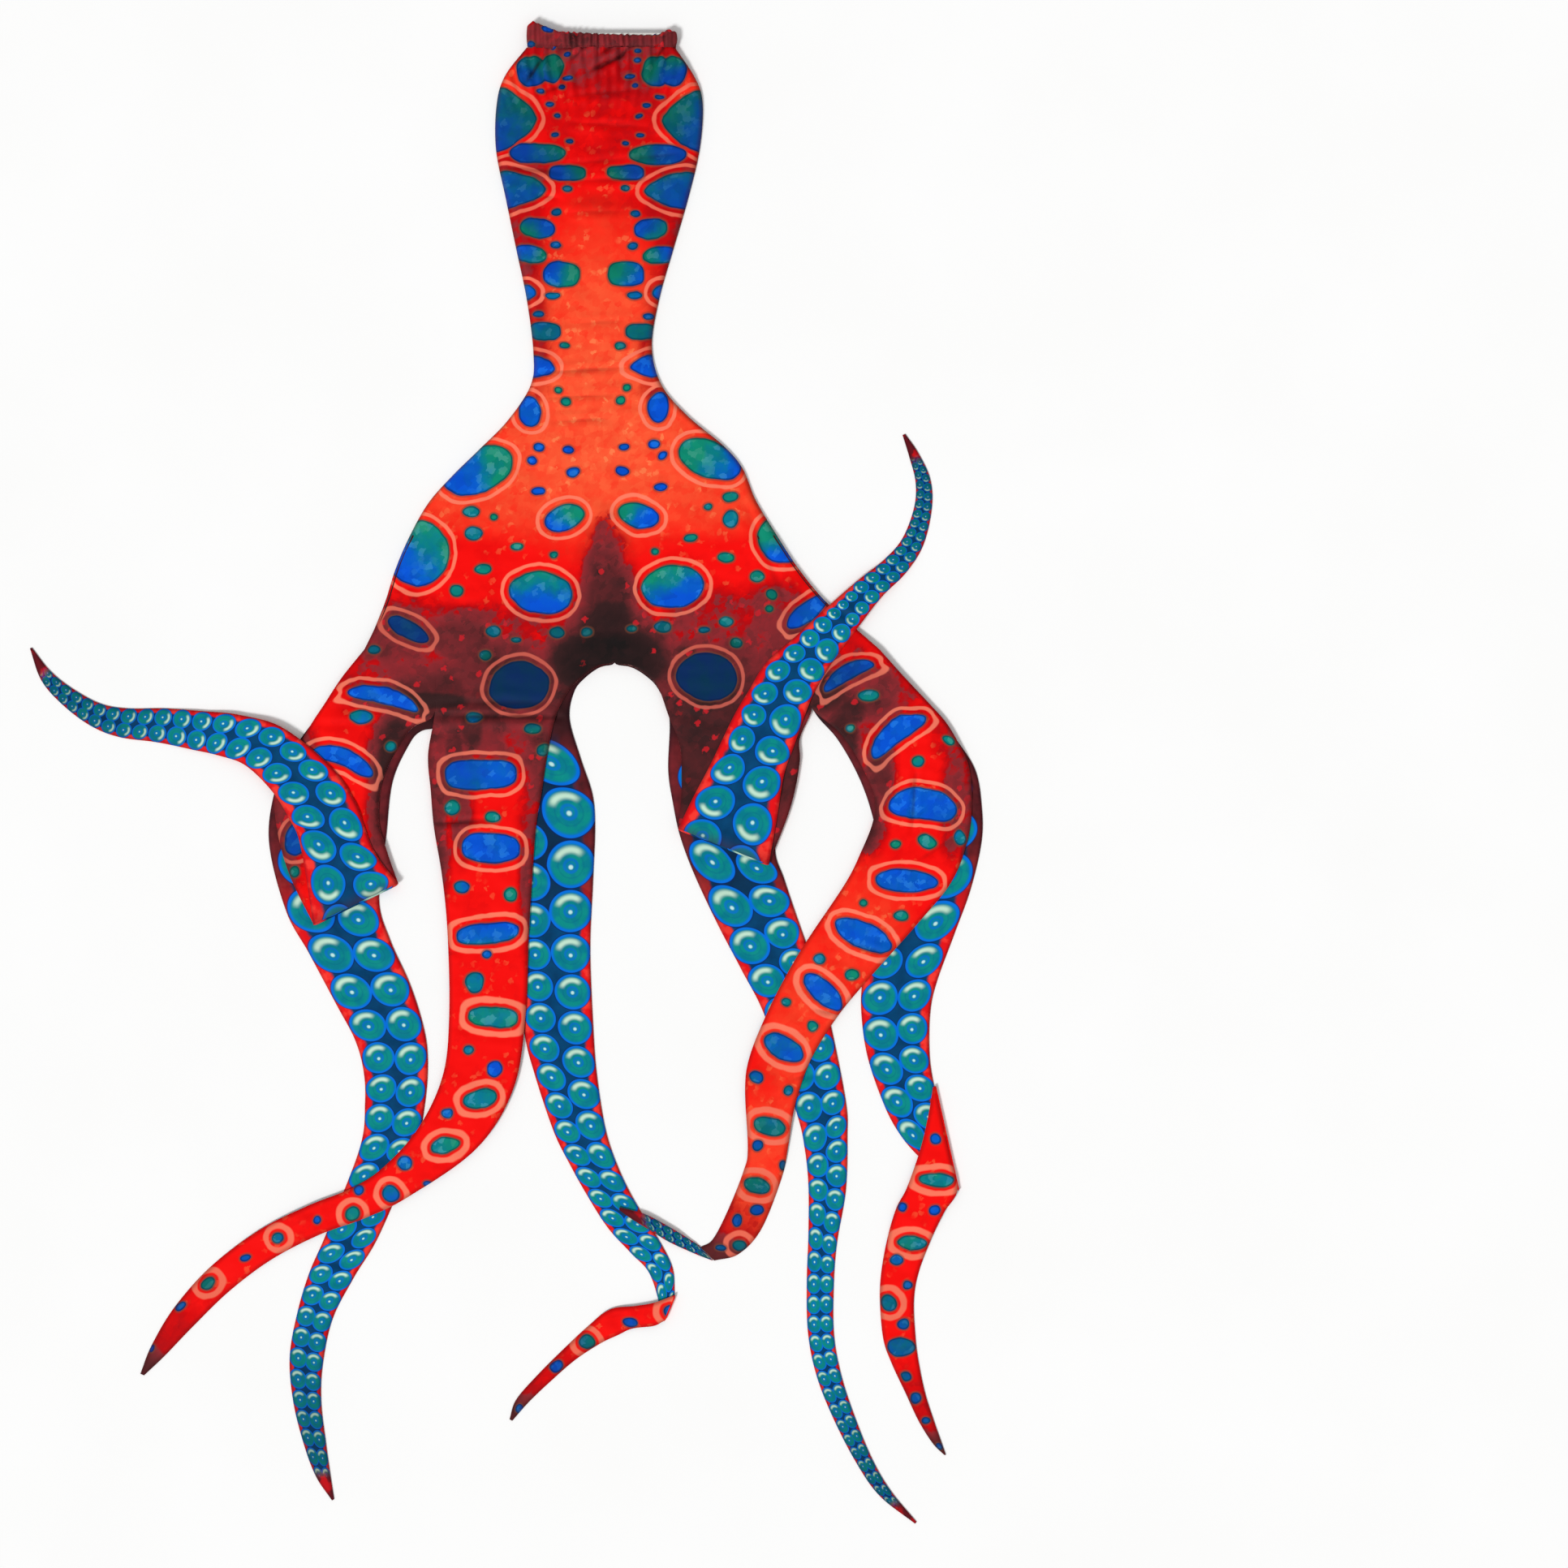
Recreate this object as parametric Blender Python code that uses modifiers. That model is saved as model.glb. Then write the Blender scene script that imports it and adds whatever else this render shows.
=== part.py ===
"""Octopus tail costume skirt, laid flat on its back.

A stretch-cloth body from a gathered waist to a wide flare, and eight tentacles, four on the front layer and
four on the back. Each tentacle is a flat sewn tube: an outer face and a sucker face, joined at both edges.
X runs across the body, Y towards the waist, Z up. The origin is the middle of the bounding box's base.
Lengths are metres, and the tables give heights in millimetres.
"""

import math

import bmesh
import bpy
from mathutils import Vector

MM = 0.001

# Cloth and seams
CLOTH = 1.0 * MM  # thickness of every sheet
SEAM_GAP = 0.4 * MM  # between two faces where a seam joins them
EDGE_GAP = 0.6 * MM  # by which a sheet stops short of its neighbour
CROWN = 2.6 * MM  # how far a tube's upper face rises at its middle
CROWN_WIDTH = 0.10  # a tube this wide or wider has the full crown

# Body: the back panel lies on z = 0 and the front panel over the room for the legs
FRONT_Z = 10.0 * MM
WAIST_Z = 15.0 * MM  # the gathered waist holds the front panel higher
WAIST_RISE_Y = (1.24, 1.34)  # the front panel rises between these
FACING_GAP = 5.0 * MM  # from the panel's edge to the facing's
BACK_FACING_Z = 1.4 * MM
FRONT_FACING_Z = 8.6 * MM
FACING_FIRST_ROW = 13  # the facings cover the flare, from this row of BODY_EDGES on
SEAM_INSET = 2.0 * MM
SEAM_WIDTH = 1.5 * MM

# Waistband: a flattened ring round the mouth
WAIST_X = (0.041, 0.314)
WAIST_Y = (1.3475, 1.377)
WAIST_HEIGHT = 16.0 * MM
TUNNEL = 3.8 * MM  # from the casing's outer face to its inner face
ELASTIC_OFFSET = 1.4 * MM
ELASTIC_Y = (1.351, 1.374)
STITCH_Y = (1.348, 1.3496)
RING_STRAIGHT_STEPS = 6
RING_ARC_STEPS = 4

# Heights in mm, as in the tables: a tube lies at 0 on the floor, at 6 over one tube and at 12 over two
TUBE_HEIGHT = 5.0  # a lifted tentacle turns about the top of its tube
FOLD_GAP = 0.5  # a folded one turns about a line this far under its underside

RED = (0.72, 0.03, 0.015, 1.0)
BLUE = (0.01, 0.19, 0.36, 1.0)
MAROON = (0.10, 0.008, 0.015, 1.0)
WHITE = (0.75, 0.73, 0.70, 1.0)
CLOTH_ROUGHNESS = 0.6

# Outlines. A body row is (left edge, right edge), from the waist down. A tentacle row is (left edge, right
# edge, height of its underside in mm), from the root to the tip.
BODY_EDGES = [
    ((0.039, 1.347), (0.313, 1.347)),
    ((-0.002, 1.295), (0.351, 1.290)),
    ((-0.017, 1.242), (0.364, 1.242)),
    ((-0.018, 1.160), (0.358, 1.160)),
    ((0.000, 1.070), (0.337, 1.070)),
    ((0.019, 0.978), (0.309, 0.974)),
    ((0.039, 0.882), (0.283, 0.882)),
    ((0.051, 0.785), (0.270, 0.795)),
    ((0.046, 0.725), (0.288, 0.725)),
    ((0.004, 0.660), (0.336, 0.668)),
    ((-0.050, 0.605), (0.403, 0.612)),
    ((-0.099, 0.557), (0.438, 0.570)),
    ((-0.143, 0.507), (0.462, 0.512)),
    ((-0.177, 0.447), (0.501, 0.447)),
    ((-0.203, 0.387), (0.540, 0.387)),
    ((-0.222, 0.327), (0.589, 0.327)),
    ((-0.242, 0.275), (0.649, 0.273)),
    ((-0.260, 0.237), (0.690, 0.237)),
]

# A tentacle that folds back on itself has a table on each side of its crease
TENTACLES = {
    "front_1": {
        "root": [
            ((-0.260, 0.237), (-0.129, 0.237), 8.6),
            ((-0.302, 0.185), (-0.129, 0.174), 7.4),
            ((-0.335, 0.135), (-0.133, 0.115), 6),
            ((-0.358, 0.100), (-0.172, 0.092), 6),
            ((-0.386, 0.050), (-0.200, 0.052), 6),
            ((-0.423, -0.024), (-0.227, -0.006), 6),
            ((-0.422, -0.094), (-0.234, -0.078), 6),
            ((-0.398, -0.181), (-0.218, -0.138), 6),
            ((-0.354, -0.271), (-0.198, -0.195), 6),
        ],
        "free": [
            ((-0.354, -0.271), (-0.198, -0.195), 12),
            ((-0.378, -0.124), (-0.243, -0.133), 12),
            ((-0.399, -0.075), (-0.275, -0.048), 12),
            ((-0.431, -0.024), (-0.321, 0.020), 12),
            ((-0.480, 0.023), (-0.410, 0.092), 11),
            ((-0.530, 0.041), (-0.491, 0.116), 7),
            ((-0.575, 0.051), (-0.560, 0.123), 3),
            ((-0.642, 0.065), (-0.630, 0.128), 0),
            ((-0.714, 0.075), (-0.699, 0.128), 0),
            ((-0.767, 0.096), (-0.749, 0.137), 0),
            ((-0.819, 0.135), (-0.801, 0.165), 0),
            ((-0.858, 0.180), (-0.842, 0.198), 0),
            ((-0.879, 0.239), (-0.875, 0.240), 0),
        ],
    },
    "front_2": {
        "whole": [
            ((-0.129, 0.237), (0.201, 0.237), 8.6),
            ((-0.129, 0.222), (0.200, 0.213), 8.4),
            ((-0.129, 0.210), (0.172, 0.207), 8.1),
            ((-0.129, 0.190), (0.142, 0.186), 7.7),
            ((-0.129, 0.166), (0.118, 0.162), 7.2),
            ((-0.131, 0.115), (0.093, 0.114), 6),
            ((-0.143, 0.042), (0.077, 0.042), 6),
            ((-0.138, -0.025), (0.067, -0.025), 6),
            ((-0.132, -0.093), (0.056, -0.093), 6),
            ((-0.117, -0.183), (0.049, -0.190), 6),
            ((-0.107, -0.288), (0.043, -0.288), 6),
            ((-0.104, -0.438), (0.037, -0.438), 6),
            ((-0.116, -0.550), (0.015, -0.573), 6),
            ((-0.162, -0.648), (-0.053, -0.684), 6),
            ((-0.230, -0.723), (-0.180, -0.774), 6),
            ((-0.290, -0.760), (-0.260, -0.813), 6),
            ((-0.365, -0.790), (-0.342, -0.843), 6),
            ((-0.455, -0.835), (-0.431, -0.889), 3),
            ((-0.545, -0.903), (-0.510, -0.948), 0),
            ((-0.612, -0.978), (-0.578, -1.014), 0),
            ((-0.654, -1.048), (-0.630, -1.068), 0),
            ((-0.675, -1.101), (-0.668, -1.104), 0),
        ],
    },
    "front_3": {
        "root": [
            ((0.201, 0.237), (0.501, 0.237), 8.6),
            ((0.202, 0.213), (0.516, 0.216), 8.4),
            ((0.232, 0.207), (0.523, 0.205), 8.1),
            ((0.260, 0.190), (0.532, 0.192), 7.7),
            ((0.282, 0.166), (0.544, 0.169), 7.2),
            ((0.302, 0.111), (0.565, 0.129), 6),
            ((0.322, 0.060), (0.543, 0.072), 6),
            ((0.325, 0.011), (0.543, 0.027), 6),
            ((0.324, -0.040), (0.526, -0.055), 6),
            ((0.319, -0.094), (0.486, -0.160), 6),
        ],
        "free": [
            ((0.319, -0.094), (0.486, -0.160), 12),
            ((0.345, -0.039), (0.501, -0.075), 12),
            ((0.378, 0.024), (0.514, 0.005), 12),
            ((0.421, 0.113), (0.532, 0.057), 12),
            ((0.451, 0.164), (0.559, 0.132), 12),
            ((0.481, 0.212), (0.574, 0.165), 12),
            ((0.538, 0.263), (0.601, 0.210), 12),
            ((0.594, 0.315), (0.649, 0.275), 12),
            ((0.649, 0.363), (0.694, 0.333), 10),
            ((0.697, 0.401), (0.738, 0.377), 4),
            ((0.732, 0.441), (0.771, 0.429), 0),
            ((0.754, 0.498), (0.787, 0.498), 0),
            ((0.757, 0.546), (0.784, 0.552), 0),
            ((0.745, 0.594), (0.762, 0.600), 0),
            ((0.733, 0.633), (0.738, 0.635), 0),
        ],
    },
    "front_4": {
        "whole": [
            ((0.501, 0.237), (0.690, 0.237), 8.6),
            ((0.538, 0.183), (0.736, 0.186), 7.4),
            ((0.565, 0.129), (0.784, 0.135), 6),
            ((0.612, 0.087), (0.814, 0.101), 6),
            ((0.640, 0.051), (0.838, 0.060), 6),
            ((0.662, 0.012), (0.856, 0.018), 6),
            ((0.681, -0.037), (0.861, -0.045), 6),
            ((0.678, -0.081), (0.853, -0.114), 6),
            ((0.657, -0.135), (0.823, -0.192), 6),
            ((0.627, -0.195), (0.760, -0.270), 6),
            ((0.556, -0.301), (0.658, -0.385), 6),
            ((0.517, -0.367), (0.606, -0.450), 6),
            ((0.481, -0.438), (0.564, -0.519), 6),
            ((0.451, -0.513), (0.541, -0.580), 6),
            ((0.442, -0.573), (0.531, -0.621), 6),
            ((0.447, -0.684), (0.522, -0.679), 3),
            ((0.439, -0.727), (0.510, -0.738), 0),
            ((0.409, -0.802), (0.472, -0.834), 0),
            ((0.382, -0.853), (0.430, -0.880), 0),
            ((0.360, -0.867), (0.385, -0.892), 0),
        ],
        "tip": [
            ((0.357, -0.864), (0.382, -0.892), 0),
            ((0.345, -0.856), (0.349, -0.879), 1.5),
            ((0.307, -0.832), (0.300, -0.856), 5),
            ((0.261, -0.807), (0.265, -0.834), 6),
            ((0.231, -0.798), (0.232, -0.814), 6),
            ((0.210, -0.793), (0.210, -0.798), 6),
        ],
    },
    "back_1": {
        "whole": [
            ((-0.260, 0.237), (-0.129, 0.237), 0),
            ((-0.299, 0.185), (-0.129, 0.170), 0),
            ((-0.330, 0.138), (-0.129, 0.116), 0),
            ((-0.348, 0.113), (-0.130, 0.093), 0),
            ((-0.366, 0.090), (-0.156, 0.086), 0),
            ((-0.384, 0.064), (-0.177, 0.064), 0),
            ((-0.417, 0.009), (-0.209, -0.007), 0),
            ((-0.438, -0.109), (-0.221, -0.109), 0),
            ((-0.407, -0.243), (-0.234, -0.226), 0),
            ((-0.363, -0.325), (-0.213, -0.301), 0),
            ((-0.314, -0.417), (-0.177, -0.381), 0),
            ((-0.279, -0.483), (-0.152, -0.460), 0),
            ((-0.263, -0.540), (-0.144, -0.520), 0),
            ((-0.260, -0.600), (-0.149, -0.600), 0),
            ((-0.270, -0.685), (-0.168, -0.685), 0),
            ((-0.332, -0.843), (-0.233, -0.843), 0),
            ((-0.362, -0.912), (-0.281, -0.924), 0),
            ((-0.384, -0.984), (-0.320, -1.000), 0),
            ((-0.399, -1.068), (-0.338, -1.083), 0),
            ((-0.393, -1.150), (-0.341, -1.153), 0),
            ((-0.374, -1.228), (-0.332, -1.231), 0),
            ((-0.351, -1.290), (-0.324, -1.288), 0),
            ((-0.321, -1.335), (-0.317, -1.333), 0),
        ],
    },
    "back_2": {
        "root": [
            ((-0.129, 0.237), (0.201, 0.237), 0),
            ((-0.129, 0.222), (0.200, 0.211), 0),
            ((-0.129, 0.208), (0.174, 0.204), 0),
            ((-0.129, 0.186), (0.146, 0.184), 0),
            ((-0.129, 0.160), (0.126, 0.158), 0),
            ((-0.129, 0.093), (0.118, 0.108), 0),
            ((-0.085, 0.040), (0.139, 0.034), 0),
            ((-0.034, -0.030), (0.160, -0.030), 0),
            ((-0.008, -0.090), (0.165, -0.090), 0),
            ((0.006, -0.195), (0.161, -0.195), 0),
            ((0.018, -0.319), (0.156, -0.319), 0),
            ((0.034, -0.469), (0.162, -0.469), 0),
            ((0.054, -0.550), (0.169, -0.555), 0),
            ((0.088, -0.652), (0.184, -0.648), 0),
            ((0.115, -0.708), (0.204, -0.711), 0),
            ((0.150, -0.771), (0.232, -0.771), 0),
            ((0.189, -0.832), (0.267, -0.829), 0),
            ((0.232, -0.879), (0.292, -0.870), 0),
            ((0.267, -0.919), (0.309, -0.909), 0),
            ((0.292, -1.003), (0.312, -0.955), 0),
        ],
        "free": [
            ((0.312, -0.955), (0.292, -1.003), 6),
            ((0.274, -0.969), (0.273, -1.012), 6),
            ((0.240, -0.975), (0.234, -1.017), 4.5),
            ((0.192, -0.982), (0.208, -1.029), 2),
            ((0.151, -1.014), (0.175, -1.045), 0),
            ((0.105, -1.057), (0.129, -1.075), 0),
            ((0.058, -1.104), (0.084, -1.114), 0),
            ((0.019, -1.149), (0.043, -1.153), 0),
            ((0.007, -1.185), (0.012, -1.188), 0),
        ],
    },
    "back_3": {
        "whole": [
            ((0.201, 0.237), (0.501, 0.237), 0),
            ((0.202, 0.211), (0.510, 0.214), 0),
            ((0.232, 0.204), (0.514, 0.203), 0),
            ((0.260, 0.187), (0.521, 0.189), 0),
            ((0.282, 0.163), (0.528, 0.166), 0),
            ((0.302, 0.111), (0.540, 0.117), 0),
            ((0.300, 0.015), (0.523, 0.015), 0),
            ((0.309, -0.048), (0.505, -0.048), 0),
            ((0.322, -0.108), (0.498, -0.135), 0),
            ((0.348, -0.178), (0.514, -0.186), 0),
            ((0.391, -0.270), (0.532, -0.240), 0),
            ((0.435, -0.354), (0.558, -0.315), 0),
            ((0.480, -0.444), (0.589, -0.408), 0),
            ((0.537, -0.618), (0.627, -0.591), 0),
            ((0.552, -0.684), (0.631, -0.666), 0),
            ((0.559, -0.753), (0.628, -0.763), 0),
            ((0.559, -0.843), (0.612, -0.858), 0),
            ((0.556, -0.930), (0.606, -0.933), 0),
            ((0.558, -1.023), (0.606, -1.026), 0),
            ((0.573, -1.101), (0.619, -1.101), 0),
            ((0.603, -1.179), (0.643, -1.176), 0),
            ((0.646, -1.263), (0.676, -1.257), 0),
            ((0.690, -1.326), (0.711, -1.317), 0),
            ((0.756, -1.378), (0.759, -1.375), 0),
        ],
    },
    "back_4": {
        "root": [
            ((0.501, 0.237), (0.690, 0.237), 0),
            ((0.543, 0.174), (0.736, 0.183), 0),
            ((0.573, 0.117), (0.784, 0.129), 0),
            ((0.612, 0.072), (0.829, 0.075), 0),
            ((0.648, 0.010), (0.867, 0.015), 0),
            ((0.673, -0.055), (0.879, -0.051), 0),
            ((0.688, -0.130), (0.879, -0.117), 0),
            ((0.682, -0.213), (0.859, -0.205), 0),
            ((0.670, -0.295), (0.829, -0.288), 0),
            ((0.658, -0.381), (0.796, -0.378), 0),
            ((0.657, -0.438), (0.784, -0.435), 0),
            ((0.667, -0.510), (0.783, -0.513), 0),
            ((0.690, -0.582), (0.792, -0.573), 0),
            ((0.718, -0.643), (0.807, -0.633), 0),
            ((0.759, -0.696), (0.820, -0.693), 0),
            ((0.832, -0.759), (0.835, -0.757), 0),
        ],
        "free": [
            ((0.789, -0.571), (0.792, -0.570), 6),
            ((0.780, -0.625), (0.805, -0.630), 6),
            ((0.766, -0.684), (0.819, -0.693), 6),
            ((0.741, -0.756), (0.834, -0.760), 6),
            ((0.721, -0.795), (0.810, -0.802), 4.5),
            ((0.705, -0.850), (0.786, -0.852), 2),
            ((0.694, -0.910), (0.763, -0.913), 0),
            ((0.691, -0.963), (0.754, -0.966), 0),
            ((0.697, -1.035), (0.757, -1.035), 0),
            ((0.712, -1.080), (0.763, -1.081), 0),
            ((0.739, -1.138), (0.775, -1.138), 0),
            ((0.763, -1.189), (0.792, -1.191), 0),
            ((0.789, -1.230), (0.805, -1.228), 0),
            ((0.810, -1.251), (0.813, -1.251), 0),
        ],
    },
}

# Where a tentacle doesn't fold across its first free row, the two ends of its crease
CREASES = {"back_4": ((0.792, -0.570), (0.835, -0.762))}

# A tentacle that lies on without folding is divided at a row, where it can be lifted
LIFT_ROW = {"front_2": 8, "front_4": 5, "back_1": 15, "back_3": 13}


def material(name, colour):
    """A cloth material, made once."""
    found = bpy.data.materials.get(name)
    if found:
        return found
    made = bpy.data.materials.new(name)
    made.use_nodes = True
    shader = made.node_tree.nodes["Principled BSDF"]
    shader.inputs["Base Color"].default_value = colour
    shader.inputs["Roughness"].default_value = CLOTH_ROUGHNESS
    shader.inputs["Metallic"].default_value = 0.0
    return made


def lerp(a, b, t):
    return a + (b - a) * t


def smooth(t):
    t = min(1.0, max(0.0, t))
    return t * t * (3.0 - 2.0 * t)


def grid_object(name, columns, rows, point, colour, thickness=CLOTH, up=True, closed=False):
    """A grid whose vertices are placed by point(column, row), thickened along its normals.

    up turns the sheet so that its normals point up and the thickness stands on the given points. closed joins
    the first and last columns into a ring.
    """
    mesh = bpy.data.meshes.new(name)
    bm = bmesh.new()
    bmesh.ops.create_grid(bm, x_segments=columns - 1, y_segments=rows - 1, size=1.0)
    for vert in bm.verts:
        column = round((vert.co.x + 1.0) / 2.0 * (columns - 1))
        row = round((vert.co.y + 1.0) / 2.0 * (rows - 1))
        vert.co = point(column, row)
    if closed:
        bmesh.ops.remove_doubles(bm, verts=bm.verts, dist=0.01 * MM)
    bm.normal_update()
    if up and sum(face.normal.z for face in bm.faces) < 0.0:
        bmesh.ops.reverse_faces(bm, faces=bm.faces)
    bm.to_mesh(mesh)
    bm.free()
    made = bpy.data.objects.new(name, mesh)
    made.data.materials.append(material(name + "_cloth", colour))
    solidify = made.modifiers.new("cloth", "SOLIDIFY")
    solidify.thickness = thickness
    solidify.offset = 1.0
    solidify.use_even_offset = True
    parts.objects.link(made)
    return made


def set_origin(piece, origin):
    """Move the piece's origin to a point on its joint's axis, leaving the piece where it is."""
    for vert in piece.data.vertices:
        vert.co -= origin
    piece.location = origin


def shorten(rows):
    """Pull the first and last rows in by the edge gap, so that the ends clear their neighbours."""
    ends = [(0, 1), (len(rows) - 1, len(rows) - 2)]
    out = [list(row) for row in rows]
    for end, inner in ends:
        for side in (0, 1):
            start = Vector(rows[end][side])
            step = Vector(rows[inner][side]) - start
            out[end][side] = tuple(start + step.normalized() * min(EDGE_GAP, step.length / 2.0))
    return out


def across(row, u, gap=EDGE_GAP):
    """The point a fraction u of the way from a row's left edge to its right, inside the edge gaps."""
    left, right = Vector(row[0]), Vector(row[1])
    width = (right - left).length
    inset = min(gap, width / 4.0) / width
    return left.lerp(right, inset + u * (1.0 - 2.0 * inset))


def tube_face(name, rows, swells, upper, colour):
    """One face of a sewn tube: the flat lower one, or the upper one, which rises from both seams."""
    rows = shorten(rows)
    columns = 3 if upper else 2

    def point(column, index):
        row = rows[index]
        u = column / (columns - 1)
        flat = across(row, u)
        height = row[2] * MM
        if upper:
            width = (Vector(row[1]) - Vector(row[0])).length
            crown = CROWN * min(1.0, width / CROWN_WIDTH) * swells[index]
            height += CLOTH + SEAM_GAP + crown * (1.0 - (2.0 * u - 1.0) ** 2)
        return (flat.x, flat.y, height)

    return grid_object(name, columns, len(rows), point, colour)


def tube(name, part, rows, outer_up, root=False):
    """The outer and sucker faces of one stretch of a tentacle."""
    swells = [1.0] * len(rows)
    if root:
        swells[0] = 0.0
        swells[1] = 0.5
    outer = tube_face(f"{name}_outer_{part}", rows, swells, outer_up, RED)
    suckers = tube_face(f"{name}_suckers_{part}", rows, swells, not outer_up, BLUE)
    return [outer, suckers]


def hinge_point(start, end, height):
    """The middle of a hinge line, at a height in millimetres."""
    middle = Vector(start).lerp(Vector(end), 0.5)
    return Vector((middle.x, middle.y, height * MM))


def make_tentacle(name, tables):
    """A tentacle's root half and free half, and any stretch at its tip that is flipped over."""
    front = name.startswith("front")
    if "whole" in tables:
        split = LIFT_ROW[name]
        root_rows = tables["whole"][: split + 1]
        free_rows = tables["whole"][split:]
        left, right, base = free_rows[0]
        hinge = hinge_point(left, right, base + TUBE_HEIGHT)
        free = tube(name, "free", free_rows, outer_up=front)
    else:
        root_rows = tables["root"]
        free_rows = tables["free"]
        left, right, base = free_rows[0]
        left, right = CREASES.get(name, (left, right))
        hinge = hinge_point(left, right, base - FOLD_GAP)
        free = tube(name, "free", free_rows, outer_up=not front)
    tube(name, "root", root_rows, outer_up=front, root=True)
    if "tip" in tables:
        free += tube(name, "tip", tables["tip"], outer_up=not front)
    for piece in free:
        set_origin(piece, hinge)


def front_height(y):
    """Underside of the front panel, which the gathers lift near the waist."""
    low, high = WAIST_RISE_Y
    return lerp(FRONT_Z, WAIST_Z, smooth((y - low) / (high - low)))


def make_panels():
    """The front and back outer panels, from the waist to where the tentacles part."""
    rows = shorten(BODY_EDGES)

    def back(column, index):
        flat = across(rows[index], column / 2.0)
        return (flat.x, flat.y, 0.0)

    def front(column, index):
        flat = across(rows[index], column / 2.0)
        return (flat.x, flat.y, front_height(flat.y))

    grid_object("back_panel", 3, len(rows), back, RED)
    grid_object("front_panel", 3, len(rows), front, RED)


def make_facings():
    """The inner layers of the flare, which run on as the tentacles' sucker faces."""
    rows = shorten(BODY_EDGES[FACING_FIRST_ROW:])

    def at_height(height):
        def point(column, index):
            flat = across(rows[index], column / 2.0, FACING_GAP)
            return (flat.x, flat.y, height)

        return point

    grid_object("back_facing", 3, len(rows), at_height(BACK_FACING_Z), MAROON)
    grid_object("front_facing", 3, len(rows), at_height(FRONT_FACING_Z), MAROON)


def make_side_seam(name, side):
    """The seam allowance that joins the panels down one side, 0 or 1, standing between them."""
    rows = shorten(BODY_EDGES)
    low = CLOTH + SEAM_GAP

    def point(column, index):
        flat = across(rows[index], side, SEAM_INSET)
        high = front_height(flat.y) - SEAM_GAP
        return (flat.x, flat.y, low if column == 0 else high)

    return grid_object(name, 2, len(rows), point, RED, thickness=SEAM_WIDTH, up=False)


def ring_loop(offset):
    """Points of the waist's flattened ring in X and Z, moved inward by offset."""
    radius = WAIST_HEIGHT / 2.0 - offset
    left = WAIST_X[0] + WAIST_HEIGHT / 2.0
    right = WAIST_X[1] - WAIST_HEIGHT / 2.0
    middle = WAIST_HEIGHT / 2.0
    points = []
    for step in range(RING_STRAIGHT_STEPS):
        points.append((lerp(left, right, step / RING_STRAIGHT_STEPS), middle - radius))
    for step in range(RING_ARC_STEPS):
        turn = math.pi * step / RING_ARC_STEPS
        points.append((right + radius * math.sin(turn), middle - radius * math.cos(turn)))
    for step in range(RING_STRAIGHT_STEPS):
        points.append((lerp(right, left, step / RING_STRAIGHT_STEPS), middle + radius))
    for step in range(RING_ARC_STEPS):
        turn = math.pi * step / RING_ARC_STEPS
        points.append((left - radius * math.sin(turn), middle + radius * math.cos(turn)))
    points.append(points[0])
    return points


def make_ring(name, profile, colour):
    """A sheet swept round the waist, thickened inward. profile lists (offset inward, y) points, outermost first."""
    loops = [ring_loop(offset) for offset, _ in profile]

    def point(column, row):
        x, z = loops[row][column]
        return (x, profile[row][1], z)

    return grid_object(name, len(loops[0]), len(profile), point, colour, up=False, closed=True)


def make_waistband():
    """The casing, open below, with the elastic and the line of stitching inside it."""
    low, high = WAIST_Y
    make_ring("waist_casing", [(0.0, low), (0.0, high), (TUNNEL, high), (TUNNEL, low)], RED)
    bottom, top = ELASTIC_Y
    make_ring("waist_elastic", [(ELASTIC_OFFSET, bottom), (ELASTIC_OFFSET, top)], WHITE)
    bottom, top = STITCH_Y
    make_ring("casing_stitch", [(ELASTIC_OFFSET, bottom), (ELASTIC_OFFSET, top)], RED)


for old in list(bpy.data.objects):
    bpy.data.objects.remove(old)
parts = bpy.data.collections.new("octopus_tail_skirt")
bpy.context.scene.collection.children.link(parts)

make_panels()
make_facings()
make_side_seam("side_seam_left", 0.0)
make_side_seam("side_seam_right", 1.0)
make_waistband()
for tentacle, outline in TENTACLES.items():
    make_tentacle(tentacle, outline)
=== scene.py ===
"""Looks for the octopus tail costume skirt: printed stretch knit, laid flat, seen from straight above.

Every sheet of cloth is a fine mesh laid in the place of its CAD node. The outlines repeat the ones that the
CAD part is cut to. The print is worked out per vertex as distances to spots, or as suckers counted along a
tentacle, and the shaders draw its edges. Lengths are metres unless a name or a comment says mm.
"""

import functools
import math

import bmesh
import bpy
import numpy as np
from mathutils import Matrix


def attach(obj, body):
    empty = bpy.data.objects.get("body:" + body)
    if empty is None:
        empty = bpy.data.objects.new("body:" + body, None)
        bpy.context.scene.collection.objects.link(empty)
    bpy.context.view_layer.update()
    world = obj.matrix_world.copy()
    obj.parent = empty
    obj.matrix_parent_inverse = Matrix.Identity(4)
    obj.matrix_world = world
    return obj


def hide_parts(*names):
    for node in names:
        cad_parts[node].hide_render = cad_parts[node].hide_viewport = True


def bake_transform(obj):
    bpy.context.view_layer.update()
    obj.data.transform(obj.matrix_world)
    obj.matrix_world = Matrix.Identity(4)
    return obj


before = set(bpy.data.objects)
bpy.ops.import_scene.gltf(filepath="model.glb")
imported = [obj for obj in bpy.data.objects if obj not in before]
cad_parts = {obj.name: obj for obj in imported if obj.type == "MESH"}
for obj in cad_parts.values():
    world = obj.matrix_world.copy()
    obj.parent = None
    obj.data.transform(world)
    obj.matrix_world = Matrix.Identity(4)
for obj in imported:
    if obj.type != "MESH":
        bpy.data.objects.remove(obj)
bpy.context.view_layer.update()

MM = 0.001
KNIT = 0.5 * MM  # thickness of the cloth
CELL = 3.4 * MM  # mesh spacing of a face that shows
HIDDEN_CELL = 8.0 * MM  # and of one that only shows when a tentacle is lifted
BODY_CELL = 3.0 * MM  # and of the front panel
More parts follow.
